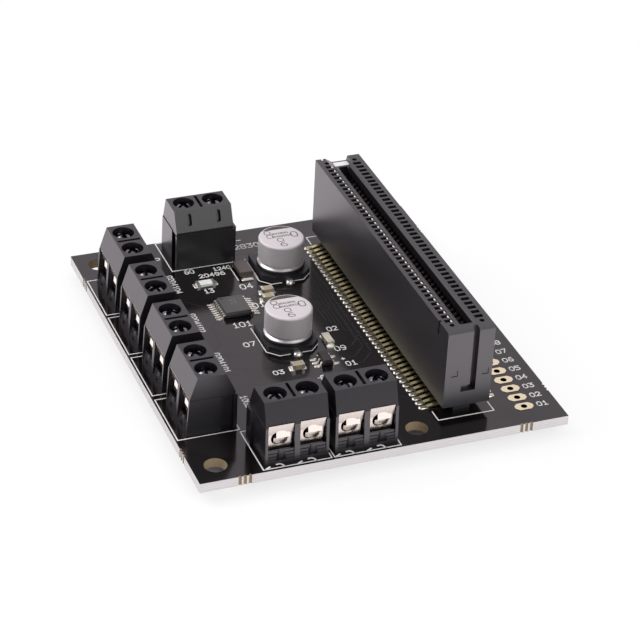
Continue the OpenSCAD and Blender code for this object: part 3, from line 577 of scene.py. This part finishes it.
def ribbon(bm, points, width, z, height, closed=False):
    """A flat bead of print or copper along points [x, y], with mitred corners."""
    count = len(points)
    points = [Vector(p) for p in points]
    rings = []
    for i, p in enumerate(points):
        before = points[i - 1] if closed or i else None
        after = points[(i + 1) % count] if closed or i < count - 1 else None
        a = (p - before).normalized() if before is not None else (after - p).normalized()
        b = (after - p).normalized() if after is not None else a
        along = (a + b).normalized() if (a + b).length > 1e-6 else a
        # a sharp corner's mitre is kept short
        side = Vector((-along.y, along.x)) / max(0.35, along.dot(a))
        push = Vector((0, 0))
        if not closed and i in (0, count - 1):
            push = along * (width / 2) * (-1 if i == 0 else 1)
        rim = []
        for share, level in BEAD:
            q = p + push + side * width * share
            rim.append(bm.verts.new((q.x, q.y, z + height * level)))
        rings.append(rim)
    spans = count if closed else count - 1
    for i in range(spans):
        a, b = rings[i], rings[(i + 1) % count]
        for k in range(4):
            bm.faces.new((a[k], a[(k + 1) % 4], b[(k + 1) % 4], b[k]))
    if not closed:
        bm.faces.new(rings[0])
        bm.faces.new(rings[-1][::-1])


# Strokes of the figures, on a grid 2 wide and 3 high
DIGITS = {
    "0": [[(0, .6), (0, 2.4), (.5, 3), (1.5, 3), (2, 2.4), (2, .6), (1.5, 0), (.5, 0), (0, .6)]],
    "1": [[(.4, 2.3), (1.1, 3), (1.1, 0)], [(.4, 0), (1.8, 0)]],
    "2": [[(0, 2.4), (.5, 3), (1.5, 3), (2, 2.4), (2, 1.9), (0, 0), (2, 0)]],
    "3": [[(0, 3), (2, 3), (1, 1.8), (1.5, 1.8), (2, 1.3), (2, .5), (1.5, 0), (.5, 0), (0, .5)]],
    "4": [[(1.5, 0), (1.5, 3), (0, 1), (2, 1)]],
    "5": [[(2, 3), (0, 3), (0, 1.8), (1.5, 1.8), (2, 1.3), (2, .5), (1.5, 0), (0, 0)]],
    "6": [[(1.7, 3), (.8, 3), (0, 2), (0, .5), (.5, 0), (1.5, 0), (2, .5), (2, 1.2), (1.5, 1.7), (0, 1.7)]],
    "7": [[(0, 3), (2, 3), (.6, 0)]],
    "8": [[(.5, 1.6), (0, 2), (0, 2.6), (.5, 3), (1.5, 3), (2, 2.6), (2, 2), (1.5, 1.6), (.5, 1.6)],
          [(.5, 1.6), (0, 1.2), (0, .4), (.5, 0), (1.5, 0), (2, .4), (2, 1.2), (1.5, 1.6)]],
    "9": [[(.3, 0), (1.2, 0), (2, 1), (2, 2.5), (1.5, 3), (.5, 3), (0, 2.5), (0, 1.8), (.5, 1.3), (2, 1.3)]],
    "+": [[(.1, 1.5), (1.9, 1.5)], [(1, .6), (1, 2.4)]],
    "-": [[(.1, 1.5), (1.9, 1.5)]],
}
# Distance from figure to figure on that grid
DIGIT_STEP = 2.9
# Strokes that cross end this far apart in height, in millimetres, so that no two faces coincide
HAIR = 0.0015


def print_number(bm, text, centre, turn, height, z, thick, width, share=1.0):
    """Stroked digits centred at centre, read along the direction turn, in degrees. share narrows them."""
    k = height / 3
    step = DIGIT_STEP * k * share
    start = -(len(text) - 1) * step / 2
    spin = Matrix.Rotation(math.radians(turn), 2)
    lift = 0
    for n, letter in enumerate(text):
        for stroke in DIGITS[letter]:
            line = [spin @ Vector((start + n * step + (x - 1) * k * share, (y - 1.5) * k)) + Vector(centre)
                    for x, y in stroke]
            ribbon(bm, line, width, z, thick + lift)
            lift = HAIR - lift


# ---------------------------------------------------------------- pieces

class BoardOperator:
    """Shared settings of the operators."""
    bl_options = {"REGISTER", "UNDO"}


class DRIVERBOARD_OT_board(BoardOperator, bpy.types.Operator):
    """Solder mask on the board's faces and routed laminate on its edges"""
    bl_idname = "driverboard.board"
    bl_label = "Board"

    def execute(self, context):
        give(["circuit_board"], solder_mask_board())
        return {"FINISHED"}


# Copper tracks that show through the mask, in millimetres
TRACKS = [
    [(3.3, 13.2), (3.4, 8.6), (3.95, 6.0), (3.95, 2.8)],
    [(4.0, 13.2), (4.1, 8.4), (4.6, 5.8), (4.6, 1.6)],
    [(4.7, 13.2), (4.75, 8.0), (5.2, 5.6), (5.2, 0.4)],
    [(5.4, 13.2), (5.4, 7.8), (5.8, 5.4), (5.8, -1.0)],
    [(6.1, 14.6), (6.1, 7.4), (6.5, 5.2), (6.5, -4.0), (5.2, -5.4), (3.6, -5.4)],
    [(6.8, 16.2), (6.8, -6.2), (4.6, -8.4), (1.6, -8.4)],
    [(7.5, 18.2), (7.5, -8.0), (5.2, -10.4), (1.8, -10.4)],
    [(-16.2, 15.1), (-13.6, 12.2), (-12.6, 11.8)],
    [(-16.4, -1.8), (-10.0, -3.2), (-8.9, -3.2)],
    [(-15.0, -6.4), (-10.2, -7.6), (-7.6, -8.9)],
    [(-12.2, 8.2), (-14.4, 6.0), (-14.4, 1.0), (-16.8, -1.4)],
    [(-6.0, 12.0), (-4.6, 13.4), (-3.6, 13.6)],
    [(-6.0, 9.2), (-4.6, 10.6), (-4.0, 11.2)],
    [(0.8, 24.9), (-1.0, 26.2), (-4.4, 26.2)],
    [(-13.0, -12.2), (-13.0, -17.8), (-11.2, -19.6)],
    [(-1.2, -10.0), (-1.2, -16.2), (-4.8, -19.6)],
    [(3.0, -10.6), (6.2, -13.8), (6.2, -20.0), (8.2, -22.0)],
]


class DRIVERBOARD_OT_tracks(BoardOperator, bpy.types.Operator):
    """Copper tracks that stand a little proud under the mask"""
    bl_idname = "driverboard.tracks"
    bl_label = "Tracks"

    def execute(self, context):
        s = sizes()
        bm = bmesh.new()
        for line in TRACKS:
            ribbon(bm, line, s.track_width / MM, FACE, s.track_height / MM)
        make_piece("copper_tracks", bm, masked_copper())
        return {"FINISHED"}


# Printed closed boxes, in millimetres: x0, x1, y0 and y1
BOXES = [
    (-19.6, -8.87, -33.0, -22.75), (-8.43, 2.2, -33.0, -22.75),
    (-29.2, -19.5, 14.3, 25.15), (-29.2, -19.5, 2.29, 13.42),
    (-29.2, -19.5, -9.74, 1.31), (-29.2, -19.5, -22.1, -10.93),
    (-15.0, -4.44, 24.1, 33.35),
]
# Printed open lines: capacitor outlines, diode and chip brackets
LINES = [
    [(-8.45, 3.9), (-8.45, -3.3), (-6.8, -4.95), (-5.05, -4.95)],
    [(-3.0, -4.95), (-1.4, -4.95), (0.15, -3.4), (0.15, 3.9)],
    [(10.05, -26.4), (10.05, -28.75), (19.25, -28.75), (19.25, -26.4)],
    [(10.05, 25.8), (10.05, 28.1), (19.25, 28.1), (19.25, 25.8)],
    [(-2.3, 24.4), (-2.3, 17.2), (-0.7, 15.6), (1.0, 15.6)],
    [(3.3, 15.6), (4.9, 15.6), (6.45, 17.2), (6.45, 24.4)],
    [(-5.5, 18.3), (-5.5, 23.3)], [(-2.2, 18.3), (-2.2, 23.3)],
]
# The two wire ways of a terminal block, from its middle
WAYS = (-2.5, 2.5)
# Painted highlights: short arcs of white ink in front of the front blocks, for glints at the foot of each wire
# way, with X from the middle of a wire way
GLINT_MARKS = [
    [(-0.5, -32.2), (-0.1, -32.12), (0.25, -32.35), (0.45, -32.95)],
    [(-2.3, -32.85), (-1.75, -32.55)],
]
GLINT_WIDTH = 0.3


class DRIVERBOARD_OT_outlines(BoardOperator, bpy.types.Operator):
    """Printed outlines round the terminal blocks, socket and capacitors, and painted highlights in front of the
    front blocks
    """
    bl_idname = "driverboard.outlines"
    bl_label = "Printed outlines"

    def execute(self, context):
        width, thick = sizes().ink_width / MM, sizes().ink_height / MM
        bm = bmesh.new()
        for x0, x1, y0, y1 in BOXES:
            ribbon(bm, [(x0, y0), (x1, y0), (x1, y1), (x0, y1)], width, FACE, thick, closed=True)
        for line in LINES:
            ribbon(bm, line, width, FACE, thick)
        # painted highlights: arcs of white ink for glints in front of each wire way
        for block in ("front_1", "front_2"):
            low, high = box_mm("terminal_housing_" + block)
            for way in WAYS:
                for line in GLINT_MARKS:
                    moved = [((low.x + high.x) / 2 + way + x, y) for x, y in line]
                    ribbon(bm, moved, GLINT_WIDTH, FACE, thick)
        make_piece("printed_outlines", bm, legend_ink())
        return {"FINISHED"}


# Plain numbers: text, centre in millimetres, turn in degrees, height in millimetres, digits' width as a share
NUMBERS = [
    ("0204104", (-16.0, 20.1), -90, 0.9, 0.95), ("0204102", (-16.1, 7.9), -90, 0.9, 0.95),
    ("0204101", (-16.1, -4.1), -90, 0.9, 0.95), ("100204", (-16.1, -16.2), -90, 0.9, 0.95),
    ("101", (-9.4, 5.4), 0, 1.3, 0.9), ("07", (-10.2, -0.4), 0, 1.15, 1.0), ("20496", (-9.1, 21.3), 0, 0.95, 1.0),
    ("60", (-12.4, 23.2), 0, 1.15, 0.8), ("1240", (-6.9, 22.8), 0, 0.9, 0.9), ("13", (-11.2, 16.6), 0, 1.15, 0.8),
    ("04", (-4.9, 16.2), 0, 1.35, 0.9), ("01", (-4.9, 10.2), 0, 1.3, 0.9), ("02", (3.9, 0.1), 0, 1.1, 0.9),
    ("09", (3.1, -5.6), 0, 1.2, 0.9), ("03", (-8.6, -9.3), 0, 1.0, 1.0), ("+", (2.4, -8.6), 0, 0.8, 1.0),
    ("01", (3.2, -10.1), 0, 1.1, 0.9), ("-6", (-3.0, -12.6), 0, 1.1, 0.9), ("2830", (-0.6, 28.4), 0, 1.2, 1.0),
    ("0", (-16.3, 28.5), -90, 1.0, 1.0), ("-", (-1.3, 30.5), 0, 1.0, 1.0),
    ("+", (-16.6, -19.6), 0, 1.0, 1.0), ("8", (-14.4, -20.9), 0, 1.0, 1.0),
]
# The header row: how many holes, their pitch, and the middle of the numbers beside them, from the board's middle
HEADER_COUNT, HEADER_PITCH, HEADER_TEXT_X = 24, 2.54, 27.15


class DRIVERBOARD_OT_numbers(BoardOperator, bpy.types.Operator):
    """Plain printed numbers beside the parts and along the header row"""
    bl_idname = "driverboard.numbers"
    bl_label = "Printed numbers"

    def execute(self, context):
        s = sizes()
        width, thick = s.ink_width / MM, s.ink_height / MM
        bm = bmesh.new()
        for text, centre, turn, height, share in NUMBERS:
            print_number(bm, text, centre, turn, height, FACE, thick, width, share)
        low, high = box_mm("header_pads")
        for i in range(HEADER_COUNT):
            y = (low.y + high.y) / 2 + (i - (HEADER_COUNT - 1) / 2) * HEADER_PITCH
            print_number(bm, f"{i + 1:02d}", (HEADER_TEXT_X, y), 0, s.digit_height / MM, FACE, thick, width)
        make_piece("printed_numbers", bm, legend_ink())
        return {"FINISHED"}


class DRIVERBOARD_OT_header(BoardOperator, bpy.types.Operator):
    """Gold on the header pads"""
    bl_idname = "driverboard.header"
    bl_label = "Header pads"

    def execute(self, context):
        give(["header_pads"], immersion_gold())
        return {"FINISHED"}


# Leaf behind the lower part of a wire hole: radius of its rim, distance of its flat top under the hole's centre,
# half its width there, near and far face from the cage's front, and lean, in millimetres for each one of height
LEAF_RADIUS, LEAF_DROP, LEAF_SIDE = 1.3, 0.3, 0.8
LEAF_DEPTHS = (0.95, 1.15)
LEAF_LEAN = 0.076
# Height of the wire holes' centres above the board
WIRE_HEIGHT = 3.9
# Turn of a block's wire side from the front, in degrees, by the first letter of its name: left, front, power
BLOCK_TURN = {"l": -90, "f": 0, "p": 180}


class DRIVERBOARD_OT_terminals(BoardOperator, bpy.types.Operator):
    """Plastic and plated metal of the terminal blocks"""
    bl_idname = "driverboard.terminals"
    bl_label = "Terminal blocks"

    def execute(self, context):
        give(["terminal_housing_" + b for b in BLOCKS], terminal_plastic())
        # the left row's cages get the lighter copy of the nickel: painted light
        for block in BLOCKS:
            give(["terminal_cages_" + block], nickel_painted_lighter() if block.startswith("left") else bright_nickel())
        give(PLATES, zinc_plate())
        give(SCREWS, screw_nickel())
        self.leaves()
        return {"FINISHED"}

    def leaves(self):
        """Spring leaves that stand behind the lower part of the wire holes."""
        first = -math.asin(LEAF_DROP / LEAF_RADIUS)
        last = -math.pi + math.acos(LEAF_SIDE / LEAF_RADIUS)
        steps = 12
        arc = [first + (last - first) * i / steps for i in range(steps + 1)]
        rim = [(LEAF_RADIUS * math.cos(a), LEAF_RADIUS * math.sin(a)) for a in arc] + [(-LEAF_SIDE, -LEAF_DROP)]
        bm = bmesh.new()
        for block in BLOCKS:
            low, high = box_mm("terminal_cages_" + block)
            spin = Matrix.Rotation(math.radians(BLOCK_TURN[block[0]]), 2)
            mid = (low.xy + high.xy) / 2
            span = abs((spin.transposed() @ (high.xy - low.xy)).y)
            for way in WAYS:
                rings = []
                for depth in LEAF_DEPTHS:
                    ring = []
                    for x, h in rim:
                        q = spin @ Vector((way + x, depth - LEAF_LEAN * h - span / 2)) + mid
                        ring.append((q.x, q.y, FACE + WIRE_HEIGHT + h))
                    rings.append(ring)
                stack(bm, rings)
        make_piece("cage_leaves", bm, bright_nickel())


# Contacts in each row of the socket, and the width of one, in millimetres
CONTACTS, CONTACT_WIDTH = 40, 0.62
# Tip of a spring, in bright tin as a painted highlight: half its size across and along the row, its distance from
# the socket's middle, and
# its rings: how much wider each is, and how far under the housing's top
TIP_ACROSS, TIP_ALONG, TIP_PLACE = 0.11, 0.27, 1.99
TIP_RINGS = ((0.02, 0.55), (0.02, 0.14), (-0.04, 0.07))
# How much lower the springs of each row end in their pockets
TIP_DROP = {"left": 0.0, "right": 0.3}
# Painted highlight, a dab of white ink: its ends from the socket's middle, its place from the back wall and the
# top, width and thickness
DAB_ENDS, DAB_BACK, DAB_DOWN, DAB_WIDTH, DAB_THICK = (-0.3, 0.95), 1.0, 0.8, 1.3, 0.02


def contact_row(side):
    """Outer end of a row of contacts, the way inward from it, 1 or -1, and each contact's place along Y."""
    low, high = box_mm("socket_contacts_" + side)
    pitch = (high.y - low.y - CONTACT_WIDTH) / (CONTACTS - 1)
    places = [low.y + CONTACT_WIDTH / 2 + i * pitch for i in range(CONTACTS)]
    return (low.x, 1, places) if side == "left" else (high.x, -1, places)


class DRIVERBOARD_OT_socket(BoardOperator, bpy.types.Operator):
    """Card socket housing and its two rows of contacts"""
    bl_idname = "driverboard.socket"
    bl_label = "Card socket"

    def execute(self, context):
        give(["socket_housing"], socket_plastic())
        give(["socket_contacts_left", "socket_contacts_right"], contact_metal())
        self.tips()
        self.highlight_dab()
        return {"FINISHED"}

    def tips(self):
        """Tips of the springs, just under the housing's top, in bright tin: a painted highlight against the dark
        springs.
        """
        low, high = box_mm("socket_housing")
        bm = bmesh.new()
        for side in ("left", "right"):
            inward, places = contact_row(side)[1:]
            x = (low.x + high.x) / 2 - inward * TIP_PLACE
            top = high.z - TIP_DROP[side]
            for y in places:
                rings = []
                for wider, down in TIP_RINGS:
                    a, b = TIP_ACROSS + wider, TIP_ALONG + wider
                    rings.append([(x + p, y + q, top - down) for p, q in ((-a, -b), (a, -b), (a, b), (-a, b))])
                stack(bm, rings)
        make_piece("contact_tips", bm, bright_solder())

    def highlight_dab(self):
        """Painted highlight: a thin dab of white ink on the back wall, where light falls bright."""
        low, high = box_mm("socket_housing")
        line = [((low.x + high.x) / 2 + x, high.y - DAB_BACK) for x in DAB_ENDS]
        bm = bmesh.new()
        ribbon(bm, line, DAB_WIDTH, high.z - DAB_DOWN, DAB_THICK)
        make_piece("paint_on_socket", bm, legend_ink())


# Print on a can's top: text, place from its centre in millimetres, height, digits' width as a share
CAN_PRINT = [
    ("0", -1.9, 1.75, 1.0, 1.45), ("0", -1.85, 0.55, 1.0, 1.45), ("0", 2.3, 0.3, 1.5, 1.0),
    ("20412041", 0.1, 1.2, 0.42, 0.9), ("204120412", 0.15, 0.3, 0.42, 0.9),
    ("0", -0.5, -0.85, 1.0, 1.45), ("6", -0.4, -2.3, 1.15, 1.3),
]
# The print's underside lies this far inside the can's top, and its ink is this thick, in millimetres
SUNK, CAN_INK = 0.004, 0.014
# Filled segment that marks the negative side of a can's top: its distance from the rim, and where its arc
# starts, ends and steps, in degrees
SEGMENT_INSET, SEGMENT_ARC = 0.42, (46, 135, 4)
# Dark ring of base plastic round a can's foot, which is painted shade on the can's lower part: distance from the
# can's side, and height above the base's top
SHADE_RING = ((0.14, -0.02), (0.12, 0.5), (0.02, 0.58), (0.01, -0.02))


def circle(centre, radius, degrees):
    """Points [x, y] round a centre at the given angles."""
    turns = [math.radians(a) for a in degrees]
    return [(centre.x + radius * math.cos(a), centre.y + radius * math.sin(a)) for a in turns]


class DRIVERBOARD_OT_capacitors(BoardOperator, bpy.types.Operator):
    """Capacitor cans and bases, the print on their tops, and a dark ring round each can's foot that is painted
    shade
    """
    bl_idname = "driverboard.capacitors"
    bl_label = "Capacitors"

    def execute(self, context):
        give(["capacitor_can_front", "capacitor_can_back"], can_aluminium())
        give(["capacitor_base_front", "capacitor_base_back"], base_plastic())
        for which in ("front", "back"):
            low, high = box_mm("capacitor_can_" + which)
            mid, radius = (low + high) / 2, (high.x - low.x) / 2
            bm = bmesh.new()
            for text, x, y, height, share in CAN_PRINT:
                # bigger figures have broader strokes
                stroke = 0.07 * (1 + height)
                print_number(bm, text, (mid.x + x, mid.y + y), 0, height, high.z - SUNK, CAN_INK, stroke, share)
            rim = circle(mid, radius - SEGMENT_INSET, range(*SEGMENT_ARC))
            stack(bm, [[(x, y, high.z + z) for x, y in rim] for z in (-SUNK, CAN_INK - SUNK)])
            make_piece("capacitor_print_" + which, bm, dark_ink())
            # a dark ring round the can's foot: painted shade
            level = box_mm("capacitor_base_" + which)[1].z
            bm = bmesh.new()
            stack(bm, [[(x, y, level + up) for x, y in circle(mid, radius + out, range(0, 360, 6))]
                       for out, up in SHADE_RING])
            make_piece("capacitor_collar_" + which, bm, base_plastic(), smooth=40)
        return {"FINISHED"}


# Figures burnt into the chip: their place along Y from its middle, their underside below its top, and their
# thickness and stroke, in millimetres
FIGURE_PLACE, FIGURE_SUNK, FIGURE_THICK, FIGURE_STROKE = 0.7, 0.003, 0.012, 0.13


class DRIVERBOARD_OT_chips(BoardOperator, bpy.types.Operator):
    """Moulded chips, their leads and the diode"""
    bl_idname = "driverboard.chips"
    bl_label = "Chips"

    def execute(self, context):
        give(["driver_chip"], filled_body("black_moulding_compound", colours().epoxy, 0.45))
        give(["regulator_chip"],
             filled_body("black_moulding_compound_fine", scaled(colours().epoxy, 0.25), 0.45))
        give(["component_leads"], bright_solder())
        give(["diode"], filled_body("brown_moulding_compound", colours().diode, 0.42))
        low, high = box_mm("driver_chip")
        mid = (low + high) / 2
        bm = bmesh.new()
        print_number(bm, "16", (mid.x, mid.y + FIGURE_PLACE), 90, 1.0, high.z - FIGURE_SUNK, FIGURE_THICK,
                     FIGURE_STROKE)
        make_piece("chip_mark", bm, laser_mark())
        return {"FINISHED"}


# Solder under leads and ends, in millimetres: middle of the part, each mound's place from it, and its size
PADS = (
    # driver chip, regulator, diode
    ((-9.2, 10.1), [(x, (i - 3.5) * 0.65) for x in (-3.1, 3.1) for i in range(8)], (1.3, 0.34)),
    ((-0.6, -8.5), [(-1.5, -0.95), (-1.5, 0), (-1.5, 0.95), (1.5, -0.95), (1.5, 0.95)], (1.3, 0.6)),
    ((-3.9, 20.8), [(0, -2.35), (0, 2.35)], (2.1, 1.2)),
    # ceramic capacitors
    ((-2.3, 13.6), [(-0.98, 0), (0.98, 0)], (0.85, 1.45)),
    ((-2.9, 11.4), [(-0.98, 0), (0.98, 0)], (0.85, 1.45)),
    ((-5.3, -8.9), [(-0.98, 0), (0.98, 0)], (0.85, 1.45)),
    # resistor, lamp
    ((-11.1, 18.7), [(-1.55, 0), (1.55, 0)], (1.0, 1.5)),
    ((1.9, -3.2), [(0, -1.45), (0, 1.45)], (1.5, 1.1)),
)
# Height of those mounds as a share of a foot's
PAD_SHARE = 0.55
# Mounds at the cans' feet: distance from the base's edge, width and height
CAN_FOOT, CAN_MOUND, CAN_RISE = 0.45, 1.5, 0.5
# A socket contact's foot: its length, and how much wider than it the solder is
FOOT_LENGTH, FOOT_SPREAD = 1.0, 0.16


class DRIVERBOARD_OT_solder(BoardOperator, bpy.types.Operator):
    """Solder joints under the board, and solder on the pads of the parts and of the socket"""
    bl_idname = "driverboard.solder"
    bl_label = "Solder"

    def execute(self, context):
        give(["solder_joints"], bright_solder())
        rise, margin = sizes().fillet_height / MM, sizes().pad_margin / MM
        bm = bmesh.new()
        for middle, offsets, size in PADS:
            for x, y in offsets:
                solder_mound(bm, (middle[0] + x, middle[1] + y), size, rise * PAD_SHARE)
        for which in ("front", "back"):
            low, high = box_mm("capacitor_base_" + which)
            for y in (low.y - CAN_FOOT, high.y + CAN_FOOT):
                solder_mound(bm, ((low.x + high.x) / 2, y), (CAN_MOUND, CAN_MOUND), CAN_RISE)
        make_piece("solder_on_pads", bm, bright_solder(), smooth=50)
        bm = bmesh.new()
        for side in ("left", "right"):
            outer, inward, places = contact_row(side)
            size = (FOOT_LENGTH + 2 * margin, CONTACT_WIDTH + FOOT_SPREAD)
            for y in places:
                solder_mound(bm, (outer + inward * FOOT_LENGTH / 2, y), size, rise)
        make_piece("solder_on_socket_feet", bm, bright_solder(), smooth=50)
        return {"FINISHED"}


class DRIVERBOARD_OT_chip_parts(BoardOperator, bpy.types.Operator):
    """Ceramic capacitors, resistor and lamp"""
    bl_idname = "driverboard.chip_parts"
    bl_label = "Chip parts"

    def execute(self, context):
        give(["ceramic_capacitors"], filled_body("fired_ceramic", colours().ceramic, 0.45))
        give(["resistor"], filled_body("pale_resistor", colours().resistor, 0.4))
        give(["indicator_lamp"], lamp_resin())
        give(["component_end_caps"], bright_solder())
        return {"FINISHED"}


# ---------------------------------------------------------------- studio

# Lamps: name, setting that holds its power, width and place, in metres
LAMPS = (
    ("key_light", "key_power", 0.30, (-0.30, 0.16, 0.34)),
    ("fill_light", "fill_power", 0.40, (0.15, -0.42, 0.27)),
)
# Half the width of the floor, in millimetres
FLOOR_REACH = 900


class DRIVERBOARD_OT_stage(BoardOperator, bpy.types.Operator):
    """Floor, surround, lights and camera"""
    bl_idname = "driverboard.stage"
    bl_label = "Studio"

    def execute(self, context):
        scene = context.scene
        scene.view_settings.view_transform = "Standard"
        scene.world = studio_surround()
        self.floor(scene)
        for lamp in LAMPS:
            self.lamp(scene, *lamp)
        self.camera(scene)
        return {"FINISHED"}

    def floor(self, scene):
        bm = bmesh.new()
        bmesh.ops.create_grid(bm, x_segments=1, y_segments=1, size=FLOOR_REACH)
        bmesh.ops.scale(bm, vec=(MM, MM, MM), verts=bm.verts)
        data = bpy.data.meshes.new("studio_floor")
        bm.to_mesh(data)
        bm.free()
        data.materials.append(studio_floor())
        floor = bpy.data.objects.new("studio_floor", data)
        scene.collection.objects.link(floor)

    def lamp(self, scene, name, power, size, place):
        """A square softbox that faces the board's middle."""
        light = bpy.data.lights.new(name, "AREA")
        light.energy = getattr(studio(), power)
        light.size = size
        lamp = bpy.data.objects.new(name, light)
        lamp.location = place
        lamp.rotation_euler = (-Vector(place)).to_track_quat("-Z", "Y").to_euler()
        scene.collection.objects.link(lamp)

    def camera(self, scene):
        lens = bpy.data.cameras.new("camera")
        lens.lens = studio().lens
        lens.sensor_width = 36
        lens.clip_start, lens.clip_end = 0.01, 10
        camera = bpy.data.objects.new("camera", lens)
        camera.location = studio().camera_place
        camera.rotation_euler = Euler(studio().camera_turn, "XYZ")
        scene.collection.objects.link(camera)
        scene.camera = camera


OPERATORS = (
    DRIVERBOARD_OT_board, DRIVERBOARD_OT_tracks, DRIVERBOARD_OT_outlines, DRIVERBOARD_OT_numbers,
    DRIVERBOARD_OT_header, DRIVERBOARD_OT_terminals, DRIVERBOARD_OT_socket, DRIVERBOARD_OT_capacitors,
    DRIVERBOARD_OT_chips, DRIVERBOARD_OT_chip_parts, DRIVERBOARD_OT_solder, DRIVERBOARD_OT_stage,
)


class DRIVERBOARD_PT_panel(bpy.types.Panel):
    """Buttons and settings for the motor driver board"""
    bl_idname = "DRIVERBOARD_PT_panel"
    bl_label = "Motor driver board"
    bl_space_type = "VIEW_3D"
    bl_region_type = "UI"
    bl_category = "Motor Driver"

    def draw(self, context):
        for operator in OPERATORS:
            self.layout.operator(operator.bl_idname)
        for group in (sizes(), colours(), studio()):
            box = self.layout.box()
            for key in group.__annotations__:
                box.prop(group, key)


GROUPS = {
    "driver_board_sizes": DriverBoardSizes,
    "driver_board_colours": DriverBoardColours,
    "driver_board_studio": DriverBoardStudio,
}
CLASSES = (*GROUPS.values(), *OPERATORS, DRIVERBOARD_PT_panel)


def register():
    for cls in CLASSES:
        bpy.utils.register_class(cls)
    for name, group in GROUPS.items():
        setattr(bpy.types.Scene, name, bpy.props.PointerProperty(type=group))


def unregister():
    for name in GROUPS:
        delattr(bpy.types.Scene, name)
    for cls in reversed(CLASSES):
        bpy.utils.unregister_class(cls)


def main():
    register()
    for operator in OPERATORS:
        group, name = operator.bl_idname.split(".")
        getattr(getattr(bpy.ops, group), name)()


if __name__ == "__main__":
    main()
